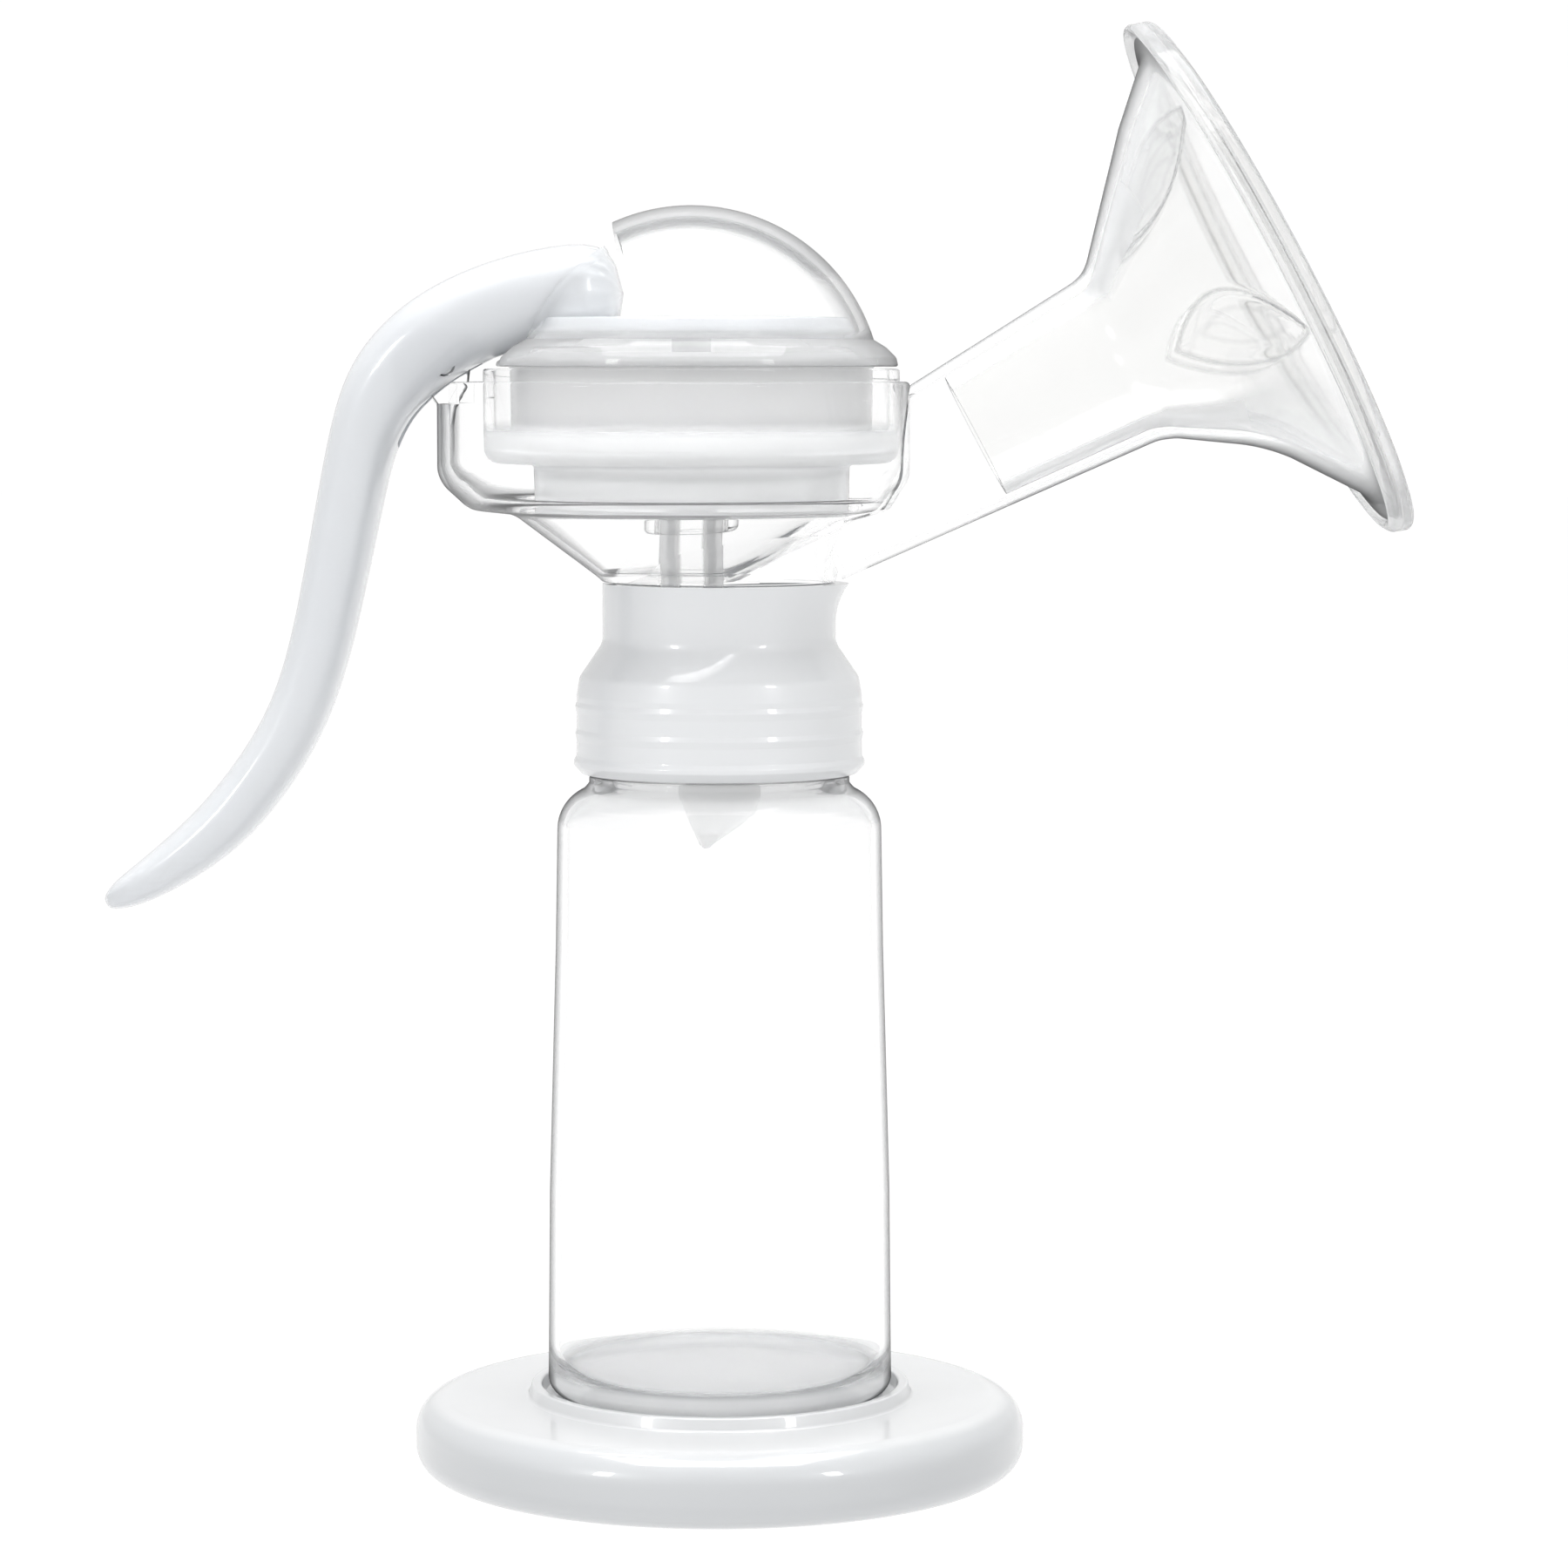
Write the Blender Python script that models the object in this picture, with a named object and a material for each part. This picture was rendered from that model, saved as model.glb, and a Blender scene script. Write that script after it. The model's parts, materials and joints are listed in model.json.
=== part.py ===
"""Manual breast pump: bottle on a stand, pump body with funnel, diaphragm and squeeze lever.

Frame: metres, +Z up, +X towards the funnel, origin under the middle of the stand.
"""
import math

import bmesh
import bpy
from mathutils import Matrix, Vector

MM = 0.001
AROUND = 32                     # segments of a large turned piece
SMALL = 20                      # and of a small one
GAP = 0.3                       # clearance between touching pieces

# Driving dimensions, in millimetres.
STAND_R = 45.0
STAND_FOOT_R = 5.6              # round of the stand's lower edge
STAND_EDGE_R = 3.6              # and of its upper edge
STAND_TOP = 11.5
RECESS_Z = 11.3                 # floor the bottle stands over
BOTTLE_Z0 = 12.0
BOTTLE_R0 = 25.4
BOTTLE_R1 = 23.8
BOTTLE_SHOULDER_Z = 95.5
SHOULDER_R = 6.5
BOTTLE_WALL = 1.5
FINISH_R = 17.2                 # bottle neck, before its thread
FINISH_TOP = 116.0
COLLAR_R = 21.0
COLLAR_Z0 = 103.8
COLLAR_Z1 = 117.4
NECK_R = 17.1
NECK_Z0 = 122.9
NECK_TOP = 131.6
BEAD_R = 21.35                  # bead round the collar's lower edge
BEAD_Z = 105.4
FLARE_Z = 126.0                 # above this the neck leans out under the horn
NECK_LEAN = 1.9
THREAD_PITCH = 4.0
THREAD_STEPS = 18               # facets of one turn of thread
CHAMBER_X = -4.0                # axis of the suction chamber, diaphragm and dome
CHAMBER_Z0 = 141.8
CHAMBER_TOP = 162.9
STEM_R = 4.6
BOWL_X = -6.6                   # middle of the hood bowl
BOWL_R = 34.5
BOWL_IN_X = -6.2                # the wall is thinner on the horn's side
BOWL_IN_R = 33.1
BOWL_RIM = 161.0
HORN_ANGLE = math.radians(28.0)
HORN_OFFSET = 117.6             # distance of the horn's axis from the origin
HORN_START = 78.0               # stations along the horn's axis
HORN_END = 129.5
FUNNEL_END = 153.6
FUNNEL_R = 39.6
FLARE_LIFT = 2.6                # how far the flare's middle stands above the horn's axis
RIM_R = 41.6
CUSHION_START = 105.0
PETALS = 5
PETAL_TURN = math.radians(-3.0)
PETAL_STATION = 144.9
PETAL_RADIUS = 22.4
PETAL_HALF = (5.6, 9.4, 1.5)    # half its width, length and height
PIVOT = Vector((-39.7, 0.0, 163.6))
PIN_R = 1.5
PIN_HALF = 8.6
LUG_HALF = 3.0
LUG_SLOT_HALF = 3.4
PLATE_Z0 = 166.9                # the lever's head plate
PLATE_Z1 = 170.2
POCKET_Z = 168.0                # floor of the plate's pocket for the rod's button
BUTTON_R = 4.6
LEVER_FACETS = 20
LEVER_POWER = 0.75              # below 1 the lever's section is squarer than an ellipse
DOME_Z = 158.7
DOME_R = 27.9
DOME_WALL = 1.4


def clear_scene():
    for old in list(bpy.data.objects):
        bpy.data.objects.remove(old)


def collection(name):
    made = bpy.data.collections.new(name)
    bpy.context.scene.collection.children.link(made)
    return made


clear_scene()
PARTS = collection("breast_pump")
CUTTERS = collection("cutters")


def material(name, colour, roughness, transmission=0.0, alpha=1.0):
    made = bpy.data.materials.new(name)
    made.use_nodes = True
    shader = made.node_tree.nodes["Principled BSDF"]
    shader.inputs["Base Color"].default_value = (*colour, 1.0)
    shader.inputs["Roughness"].default_value = roughness
    shader.inputs["Metallic"].default_value = 0.0
    shader.inputs["Transmission Weight"].default_value = transmission
    shader.inputs["Alpha"].default_value = alpha
    made.diffuse_color = (*colour, alpha)
    return made


def add(mesh, name, mat=None, cutter=False):
    made = bpy.data.objects.new(name, mesh)
    (CUTTERS if cutter else PARTS).objects.link(made)
    if cutter:
        made.hide_render = True
        made.display_type = "WIRE"
    if mat:
        mesh.materials.append(mat)
    return made


def finish(bm, name, mat=None, cutter=False):
    """Turn a closed bmesh in millimetres into an object in metres."""
    bmesh.ops.remove_doubles(bm, verts=bm.verts, dist=0.0001)
    bmesh.ops.recalc_face_normals(bm, faces=bm.faces)
    bmesh.ops.scale(bm, vec=(MM, MM, MM), verts=bm.verts)
    mesh = bpy.data.meshes.new(name)
    bm.to_mesh(mesh)
    bm.free()
    mesh.shade_smooth()
    mesh.set_sharp_from_angle(angle=math.radians(35))
    return add(mesh, name, mat, cutter)


def turned(profile, segments=AROUND):
    """Turn a profile of (radius, height) about Z; a profile that starts and ends off the axis is a ring."""
    bm = bmesh.new()
    closed = profile[0][0] > 0.0 and profile[-1][0] > 0.0
    points = profile + [profile[0]] if closed else profile
    verts = [bm.verts.new((radius, 0.0, height)) for radius, height in points]
    edges = [bm.edges.new(pair) for pair in zip(verts, verts[1:])]
    bmesh.ops.spin(bm, geom=verts + edges, cent=(0, 0, 0), axis=(0, 0, 1),
                   angle=math.tau, steps=segments, use_merge=False)
    bmesh.ops.remove_doubles(bm, verts=bm.verts, dist=0.0001)
    return bm


def arc(centre, radius, start, end, steps):
    """Points (radius, height) on an arc, angles in degrees from the outward direction."""
    points = []
    for i in range(steps + 1):
        angle = math.radians(start + (end - start) * i / steps)
        points.append((centre[0] + radius * math.cos(angle), centre[1] + radius * math.sin(angle)))
    return points


def turned_at(profile, name, mat, x=0.0, segments=AROUND, cutter=False):
    bm = turned(profile, segments)
    bmesh.ops.translate(bm, vec=(x, 0, 0), verts=bm.verts)
    return finish(bm, name, mat, cutter)


def join_rings(bm, rings):
    """Skin rings of equally many vertices, one to the next."""
    for below, above in zip(rings, rings[1:]):
        for i in range(len(below)):
            j = (i + 1) % len(below)
            bm.faces.new((below[i], below[j], above[j], above[i]))


def loft(sections, segments=AROUND):
    """Skin level circles given as (centre x, height, radius) and close both ends."""
    bm = bmesh.new()
    rings = []
    for x, height, radius in sections:
        place = Matrix.Translation((x, 0, height))
        ring = bmesh.ops.create_circle(bm, cap_ends=False, radius=radius, segments=segments, matrix=place)
        rings.append(ring["verts"])
    join_rings(bm, rings)
    bm.faces.new(rings[0])
    bm.faces.new(rings[-1])
    return bm


HORN_MATRIX = (Matrix.Translation(Vector((-math.sin(HORN_ANGLE), 0, math.cos(HORN_ANGLE))) * HORN_OFFSET)
               @ Matrix.Rotation(math.radians(90) - HORN_ANGLE, 4, "Y"))


def horn_shift(along):
    """How far the middle of the flare stands above the horn's axis."""
    if along <= HORN_END:
        return 0.0
    share = (along - HORN_END) / (FUNNEL_END - HORN_END)
    return FLARE_LIFT * math.sin(math.pi * min(1.0, share) ** 1.3)


def horn_turned(profile, name, mat, segments=AROUND, cutter=False):
    """Turn a profile of (radius, station) about the horn's sloping axis."""
    bm = turned(profile, segments)
    for vert in bm.verts:
        vert.co.x -= horn_shift(vert.co.z)
    bmesh.ops.transform(bm, matrix=HORN_MATRIX, verts=bm.verts)
    return finish(bm, name, mat, cutter)


def boolean(piece, cutter, operation="DIFFERENCE"):
    cut = piece.modifiers.new(cutter.name, "BOOLEAN")
    cut.operation = operation
    cut.object = cutter
    return piece


def apply_modifiers(piece):
    """Replace the mesh by its evaluated form, so that it can be used as a cutter."""
    graph = bpy.context.evaluated_depsgraph_get()
    mesh = bpy.data.meshes.new_from_object(piece.evaluated_get(graph))
    piece.modifiers.clear()
    piece.data = mesh
    return piece


def box_cutter(name, low, high):
    bm = bmesh.new()
    bmesh.ops.create_cube(bm, size=1.0)
    size = Vector(high) - Vector(low)
    bmesh.ops.scale(bm, vec=size, verts=bm.verts)
    bmesh.ops.translate(bm, vec=Vector(low) + size / 2, verts=bm.verts)
    return finish(bm, name, None, cutter=True)


def prism(name, outline, half):
    """Extrude an outline of (x, z) to both sides of the middle plane."""
    bm = bmesh.new()
    face = bm.faces.new([bm.verts.new((x, -half, z)) for x, z in outline])
    side = bmesh.ops.extrude_face_region(bm, geom=[face])
    moved = [item for item in side["geom"] if isinstance(item, bmesh.types.BMVert)]
    bmesh.ops.translate(bm, vec=(0, 2 * half, 0), verts=moved)
    return finish(bm, name, None, cutter=True)


def set_origin(piece, point):
    """Put the object's origin on its joint, leaving the mesh where it is."""
    place = Vector(point) * MM
    piece.data.transform(Matrix.Translation(-place))
    piece.location = place


milky = material("milky_polypropylene", (0.80, 0.82, 0.84), 0.30, 0.3)
clear = material("clear_polypropylene", (0.95, 0.96, 0.97), 0.06, 1.0, 0.35)
silicone = material("silicone", (0.90, 0.91, 0.92), 0.40, 0.6, 0.6)


# Stand: a round weighted foot with a raised ring that centres the bottle.
def make_stand():
    profile = [(0.0, 0.0)]
    profile += arc((STAND_R - STAND_FOOT_R, STAND_FOOT_R), STAND_FOOT_R, -90, -10, 5)
    profile += arc((STAND_R - STAND_EDGE_R, STAND_TOP - STAND_EDGE_R), STAND_EDGE_R, 0, 90, 5)
    profile += [(28.2, STAND_TOP), (27.6, 13.4), (26.5, 13.4), (26.0, 12.6), (26.0, RECESS_Z),
                (0.0, RECESS_Z)]
    stand = turned_at(profile, "base_stand", milky, segments=40)
    set_origin(stand, (0, 0, 0))


# Bottle: a blown clear body with a threaded neck, open at the top.
def make_bottle():
    outer = [(0.0, BOTTLE_Z0 + 1.6), (14.0, BOTTLE_Z0 + 1.2), (20.5, BOTTLE_Z0)]
    outer += arc((BOTTLE_R0 - 3.2, BOTTLE_Z0 + 3.2), 3.2, -90, 0, 4)
    outer += [(25.1, 42.0), (BOTTLE_R1 + 0.3, 78.0)]
    outer += arc((BOTTLE_R1 - SHOULDER_R, BOTTLE_SHOULDER_Z), SHOULDER_R, 0, 68, 6)
    outer += [(18.6, 102.6), (FINISH_R, 103.2), (FINISH_R, FINISH_TOP)]
    inner = [(FINISH_R - 1.7, FINISH_TOP), (FINISH_R - 1.7, 102.6), (17.2, 101.6), (19.2, 100.3)]
    inner += arc((BOTTLE_R1 - SHOULDER_R, BOTTLE_SHOULDER_Z), SHOULDER_R - BOTTLE_WALL, 45, 0, 3)
    inner += [(22.6, 78.0), (23.6, 42.0), (23.8, 16.4)]
    inner += arc((BOTTLE_R0 - 4.6, BOTTLE_Z0 + 4.6), 3.0, -20, -90, 3)
    inner += [(14.0, BOTTLE_Z0 + 2.8), (0.0, BOTTLE_Z0 + 3.2)]
    bottle = turned_at(outer + inner, "bottle", clear)
    thread = helix("bottle_thread", FINISH_R - 0.4, 1.25, 105.4, 1.75)
    boolean(bottle, thread, "UNION")


def helix(name, radius, height, start, turns):
    """One start of thread: a triangular ridge wound about Z, running out at both ends."""
    bm = bmesh.new()
    steps = int(turns * THREAD_STEPS)
    loops = []
    for i in range(steps + 1):
        angle = math.tau * i / THREAD_STEPS
        run_out = min(1.0, i / 4.0, (steps - i) / 4.0)
        base = start + THREAD_PITCH * i / THREAD_STEPS
        crest = radius + 0.2 + height * max(run_out, 0.15)
        corners = [(radius, base - 0.9), (crest, base - 0.25), (crest, base + 0.25),
                   (radius, base + 0.9)]
        loops.append([bm.verts.new((r * math.cos(angle), r * math.sin(angle), z)) for r, z in corners])
    join_rings(bm, loops)
    bm.faces.new(loops[0])
    bm.faces.new(loops[-1])
    return finish(bm, name, None, cutter=True)


# Bottle connector: the screw collar and neck that carry the pump body.
def make_connector():
    outer = [(NECK_R, NECK_TOP), (NECK_R, 130.2), (NECK_R, 128.4), (NECK_R, FLARE_Z),
             (NECK_R, NECK_Z0 + 1.2), (NECK_R + 0.6, NECK_Z0), (COLLAR_R - 0.6, COLLAR_Z1 + 0.5),
             (COLLAR_R, COLLAR_Z1 - 0.6), (COLLAR_R, COLLAR_Z0 + 0.7), (COLLAR_R - 0.8, COLLAR_Z0)]
    bore = [(19.3, COLLAR_Z0), (19.3, 117.9), (15.4, 117.9), (15.4, NECK_TOP)]
    connector = turned_at(outer + bore, "bottle_connector", milky)
    for vert in connector.data.vertices:
        rise = max(0.0, vert.co.z / MM - FLARE_Z) / (NECK_TOP - FLARE_Z)
        if vert.co.x > 0:
            vert.co.x += NECK_LEAN * MM * rise ** 2 * (vert.co.x / (NECK_R * MM)) ** 2
    bead = [(COLLAR_R - 0.3, BEAD_Z - 0.7), (BEAD_R, BEAD_Z - 0.3), (BEAD_R, BEAD_Z + 0.3),
            (COLLAR_R - 0.3, BEAD_Z + 0.7)]
    boolean(connector, turned_at(bead, "collar_bead", None, cutter=True), "UNION")


# Seal and valve: a gasket on the bottle's mouth, the valve seat above it and the duckbill below.
DUCKBILL_OUTSIDE = [  # height, half size across the lips, half size along them
    (117.8, 7.4, 7.4), (115.4, 7.4, 7.4), (114.6, 6.5, 6.5), (103.5, 6.2, 6.2), (98.2, 5.4, 5.4),
    (93.0, 1.0, 4.6)]
DUCKBILL_INSIDE = [(93.0, 0.35, 3.6), (98.2, 4.4, 4.4), (103.5, 5.7, 5.7), (117.8, 5.7, 5.7)]
DUCKBILL_FACETS = 24


def make_valve():
    turned_at([(16.9, FINISH_TOP + GAP), (16.9, 117.6), (13.4, 117.6), (13.4, FINISH_TOP + GAP)],
              "bottle_seal_ring", silicone)
    seat = [(15.1, 118.2), (15.1, 120.2), (5.6, 121.4), (5.6, 124.6), (4.4, 124.6), (4.4, 108.4),
            (5.4, 108.4), (5.4, 118.2)]
    turned_at(seat, "valve_seat", milky, segments=SMALL)
    bm = bmesh.new()
    rings = []
    for height, across, wide in DUCKBILL_OUTSIDE + DUCKBILL_INSIDE:
        angles = [math.tau * i / DUCKBILL_FACETS for i in range(DUCKBILL_FACETS)]
        rings.append([bm.verts.new((across * math.cos(a), wide * math.sin(a), height)) for a in angles])
    rings.append(rings[0])
    join_rings(bm, rings)
    finish(bm, "duckbill_valve", silicone)


# Pump body: clear hood bowl, horn and funnel in one moulding.
def make_body():
    outer_bowl = [(0.0, NECK_TOP + GAP, NECK_R), (-0.3, 132.6, 17.6), (-4.9, 141.9, 25.4),
                  (-5.9, 142.4, 29.0), (-6.4, 144.2, 32.4), (BOWL_X, 148.0, BOWL_R),
                  (BOWL_X, BOWL_RIM, BOWL_R)]
    body = finish(loft(outer_bowl), "pump_body", clear)
    tube = [(0.0, HORN_START), (9.4, HORN_START), (11.3, 104.0), (13.1, 128.4), (14.7, 131.6),
            (18.6, 136.0), (24.2, 141.8), (30.6, 147.6), (35.4, 151.4), (FUNNEL_R, FUNNEL_END - 1.3),
            (FUNNEL_R, FUNNEL_END), (0.0, FUNNEL_END)]
    boolean(body, horn_turned(tube, "horn_outside", None, cutter=True), "UNION")
    cavity = [(-7.7, 133.6, 9.1), (-4.9, 142.0, 23.8), (-4.9, 143.6, 25.6), (-5.6, 143.9, 28.6),
              (-6.1, 145.6, 31.6), (BOWL_IN_X, 149.0, BOWL_IN_R),
              (BOWL_IN_X, BOWL_RIM + 12.0, BOWL_IN_R)]
    under = [(-7.7, 132.2, 9.9), (-4.9, 140.6, 24.8), (-4.9, 142.3, 26.8), (-5.9, 142.5, 30.0),
             (-6.4, 144.2, 33.2), (BOWL_X, 148.4, BOWL_R), (BOWL_X, BOWL_RIM, BOWL_R)]
    neck_way = [(0.0, NECK_TOP - 4.0, 15.4), (0.0, NECK_TOP + 2.0, 15.4), (-3.0, 139.0, 20.0)]
    airway = finish(loft(neck_way), "airway", None, True)
    bore = [(0.0, HORN_START + 1.0), (8.0, HORN_START + 1.0), (9.9, 104.0), (11.6, 128.8), (13.2, 132.4),
            (17.3, 137.0), (23.0, 142.8), (29.4, 148.6), (34.0, 152.2),
            (FUNNEL_R - 2.0, FUNNEL_END + 0.2), (FUNNEL_R - 2.0, FUNNEL_END + 4.0),
            (0.0, FUNNEL_END + 4.0)]
    boolean(airway, horn_turned(bore, "horn_bore", None, cutter=True), "UNION")
    boolean(airway, finish(loft(under), "bowl_underside", None, True), "DIFFERENCE")
    apply_modifiers(airway)
    boolean(body, finish(loft(cavity), "bowl_inside", None, True))
    boolean(body, airway)
    passage = turned_at([(0.0, 128.0), (STEM_R + GAP, 128.0), (STEM_R + GAP, 150.0), (0.0, 150.0)],
                        "stem_passage", None, CHAMBER_X, SMALL, True)
    boolean(body, passage)
    boolean(body, box_cutter("lever_clearance", (-48.0, -12.8, 157.8), (-36.8, 12.8, 170.0)))
    lug = [(-40.9, 152.0), (-39.5, 152.0), (-38.8, 157.0), (-36.7, 160.6), (-36.3, 164.0),
           (-37.8, 166.4), (-39.7, 167.1), (-41.6, 166.4), (-43.0, 164.2), (-42.6, 160.0),
           (-40.9, 157.4)]
    boolean(body, prism("fulcrum_lug", lug, LUG_HALF), "UNION")
    boolean(body, pin_shape("lug_bore", PIN_R + GAP, LUG_HALF + 1.0))


def pin_shape(name, radius, half, mat=None, cutter=True):
    bm = bmesh.new()
    bmesh.ops.create_cone(bm, cap_ends=True, segments=SMALL, radius1=radius, radius2=radius, depth=2 * half,
                          matrix=Matrix.Translation(PIVOT) @ Matrix.Rotation(math.radians(90), 4, "X"))
    return finish(bm, name, mat, cutter)


# Suction chamber: the stepped cup in the hood, with a hollow stem down to the neck.
def make_chamber():
    outer = [(3.3, 129.2), (STEM_R, 129.2), (STEM_R, CHAMBER_Z0), (21.8, CHAMBER_Z0), (22.9, 142.9),
             (23.1, 148.2), (23.6, 149.0), (28.3, 149.2), (29.8, 150.4), (30.3, 152.2),
             (30.4, CHAMBER_TOP)]
    inner = [(28.9, CHAMBER_TOP), (28.8, 152.6), (28.0, 150.9), (24.0, 150.6), (21.9, 149.4),
             (21.6, 144.0), (20.6, 143.3), (3.3, 143.3)]
    turned_at(outer + inner, "suction_chamber", clear, CHAMBER_X)
    seal = [(6.9, 138.5), (6.9, 141.4), (5.0, 141.4), (5.0, 138.5)]
    turned_at(seal, "stem_seal", silicone, CHAMBER_X, SMALL)


# Diaphragm: a deep silicone cup hung from the chamber's rim, drawn up at its middle by the stem.
def make_diaphragm():
    outer = [(0.0, 146.4), (20.9, 146.4), (21.2, 151.2), (26.3, 151.2), (26.5, 163.2), (28.6, 163.2),
             (28.4, 163.9), (26.6, 165.1)]
    inner = [(25.0, 165.1), (24.4, 164.0), (24.2, 152.8), (17.4, 152.8), (16.0, 148.0), (0.0, 148.0)]
    turned_at(outer + inner, "diaphragm", silicone, CHAMBER_X)
    turned_at([(3.5, 148.3), (9.0, 148.3), (9.0, 149.4), (6.0, 150.3),
               (3.5, 150.3)], "diaphragm_disc", milky,
              CHAMBER_X, SMALL)
    rod = [(0.0, 169.3), (2.9, 169.3), (2.9, 164.4), (5.6, 164.0), (5.6, 162.6), (3.2, 161.6),
           (3.2, 148.3), (0.0, 148.3)]
    turned_at(rod, "diaphragm_stem", milky, CHAMBER_X, SMALL)
    button = [(0.0, 170.5), (2.8, 170.4), (4.2, 169.9), (BUTTON_R, 169.5), (4.4, 169.1), (3.2, 169.1),
              (3.2, 169.6), (0.0, 169.6)]
    turned_at(button, "stem_cap", milky, CHAMBER_X, SMALL)


# Lever: a curved grip whose root carries the head plate under the dome.
LEVER_PATH = [  # centre x, centre z, half thickness, half width
    (-13.6, 173.8, 7.8, 11.6), (-24.0, 173.3, 7.7, 12.0), (-32.2, 172.0, 6.7, 12.0),
    (-37.9, 169.4, 6.8, 12.0), (-43.4, 166.0, 6.6, 11.8), (-47.9, 161.4, 6.2, 11.2),
    (-50.4, 157.0, 5.5, 10.8), (-52.4, 151.0, 4.9, 10.2), (-54.3, 141.5, 4.8, 9.6),
    (-56.6, 130.0, 4.6, 9.2), (-58.6, 121.0, 4.5, 9.0), (-62.3, 110.0, 4.4, 9.0),
    (-70.1, 99.0, 4.4, 9.0), (-76.4, 93.0, 4.0, 8.8), (-84.5, 87.5, 3.0, 7.6), (-88.4, 85.6, 2.1, 5.6),
    (-90.2, 84.4, 0.9, 2.4)]


def make_lever():
    bm = bmesh.new()
    rings = []
    for i, (x, z, thick, wide) in enumerate(LEVER_PATH):
        before = LEVER_PATH[max(i - 1, 0)]
        after = LEVER_PATH[min(i + 1, len(LEVER_PATH) - 1)]
        along = Vector((after[0] - before[0], 0, after[1] - before[1])).normalized()
        across = Vector((-along.z, 0, along.x))
        ring = []
        for k in range(LEVER_FACETS):
            angle = math.tau * k / LEVER_FACETS
            cos, sin = math.cos(angle), math.sin(angle)
            side = math.copysign(abs(cos) ** LEVER_POWER, cos) * wide
            up = math.copysign(abs(sin) ** LEVER_POWER, sin) * thick
            ring.append(bm.verts.new(Vector((x, side, z)) + across * up))
        rings.append(ring)
    join_rings(bm, rings)
    bm.faces.new(rings[0])
    bm.faces.new(rings[-1])
    lever = finish(bm, "lever", milky)
    plate = turned_at([(0.0, PLATE_Z1), (23.2, PLATE_Z1), (24.3, 168.2), (24.5, PLATE_Z0),
                       (0.0, PLATE_Z0)],
                      "head_plate", None, CHAMBER_X, cutter=True)
    boolean(lever, plate, "UNION")
    boolean(lever, prism("root_end", [(-12.4, PLATE_Z1), (-15.9, 184.0), (6.0, 184.0),
    (6.0, PLATE_Z1)], 20.0))
    boolean(lever, box_cutter("rod_slot", (-9.4, -3.5, 160.0), (30.0, 3.5, 176.0)))
    boolean(lever, box_cutter("button_pocket", (-9.4, -5.3, POCKET_Z), (30.0, 5.3, 176.0)))
    boolean(lever, box_cutter("lug_slot", (-47.0, -LUG_SLOT_HALF, 150.0), (-34.4, LUG_SLOT_HALF, 168.6)))
    boolean(lever, pin_shape("lever_pin_bore", PIN_R + GAP, PIN_HALF + 0.4))
    apply_modifiers(lever)
    set_origin(lever, PIVOT)
    pin = pin_shape("pivot_pin", PIN_R, PIN_HALF, milky, cutter=False)
    set_origin(pin, PIVOT)


# Dome: the clear cover over the head plate, notched where the lever enters.
def make_dome():
    outer = [(0.0, DOME_Z + DOME_R)]
    outer += arc((0.0, DOME_Z), DOME_R, 82, 18, 8)
    outer += [(28.4, 166.0), (29.7, 164.7), (30.2, 163.6), (30.2, 163.2)]
    inner = [(29.1, 163.2), (29.0, 164.3), (27.5, 165.7)]
    inner += arc((0.0, DOME_Z), DOME_R - DOME_WALL, 20, 82, 8)
    inner += [(0.0, DOME_Z + DOME_R - DOME_WALL)]
    dome = turned_at(outer + inner, "dome_cover", clear, CHAMBER_X)
    boolean(dome, prism("dome_notch", [(-12.1, PLATE_Z1), (-15.9, 186.0), (-60.0, 186.0), (-60.0, 150.0),
                                       (-28.0, 150.0), (-28.0, 166.0)], 12.5))
    apply_modifiers(dome)
    set_origin(dome, PIVOT)


# Massage cushion: a silicone liner in the horn with a flared face and a lip over the funnel's edge.
def make_cushion():
    outer = [(9.6, CUSHION_START), (11.3, 128.9), (12.9, 132.7), (16.9, 137.3), (22.6, 143.1),
             (29.0, 148.9), (33.6, 152.5), (37.2, FUNNEL_END + 0.3), (FUNNEL_R + 0.3, FUNNEL_END + 0.3),
             (FUNNEL_R + 0.3, 151.9), (RIM_R - 0.6, 151.2), (RIM_R, 152.0), (RIM_R, 154.6),
             (RIM_R - 1.2, 155.6)]
    inner = [(36.6, 155.0), (31.4, 151.6), (27.2, 148.4), (20.6, 142.6), (14.8, 136.9), (11.0, 132.2),
             (9.0, 128.0), (7.4, CUSHION_START)]
    cushion = horn_turned(outer + inner, "massage_cushion", silicone)
    for i in range(PETALS):
        boolean(cushion, petal(i), "UNION")


def petal(i):
    """One lens-shaped pad that stands out of the cushion's face."""
    bm = bmesh.new()
    bmesh.ops.create_uvsphere(bm, u_segments=16, v_segments=8, radius=1.0)
    bmesh.ops.scale(bm, vec=PETAL_HALF, verts=bm.verts)
    lie = Matrix.Rotation(math.radians(-43.0), 4, "Y") @ Matrix.Rotation(math.radians(90), 4, "Z")
    seat = Matrix.Translation((PETAL_RADIUS, 0, PETAL_STATION)) @ lie
    turn = Matrix.Rotation(PETAL_TURN + math.tau * i / PETALS, 4, "Z")
    place = HORN_MATRIX @ Matrix.Translation((-horn_shift(PETAL_STATION), 0, 0)) @ turn @ seat
    bmesh.ops.transform(bm, matrix=place, verts=bm.verts)
    return finish(bm, f"petal_{i + 1}", None, cutter=True)


make_stand()
make_bottle()
make_connector()
make_valve()
make_body()
make_chamber()
make_diaphragm()
make_lever()
make_dome()
make_cushion()
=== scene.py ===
import json
import math

import bmesh
import bpy
from mathutils import Matrix, Vector


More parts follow.
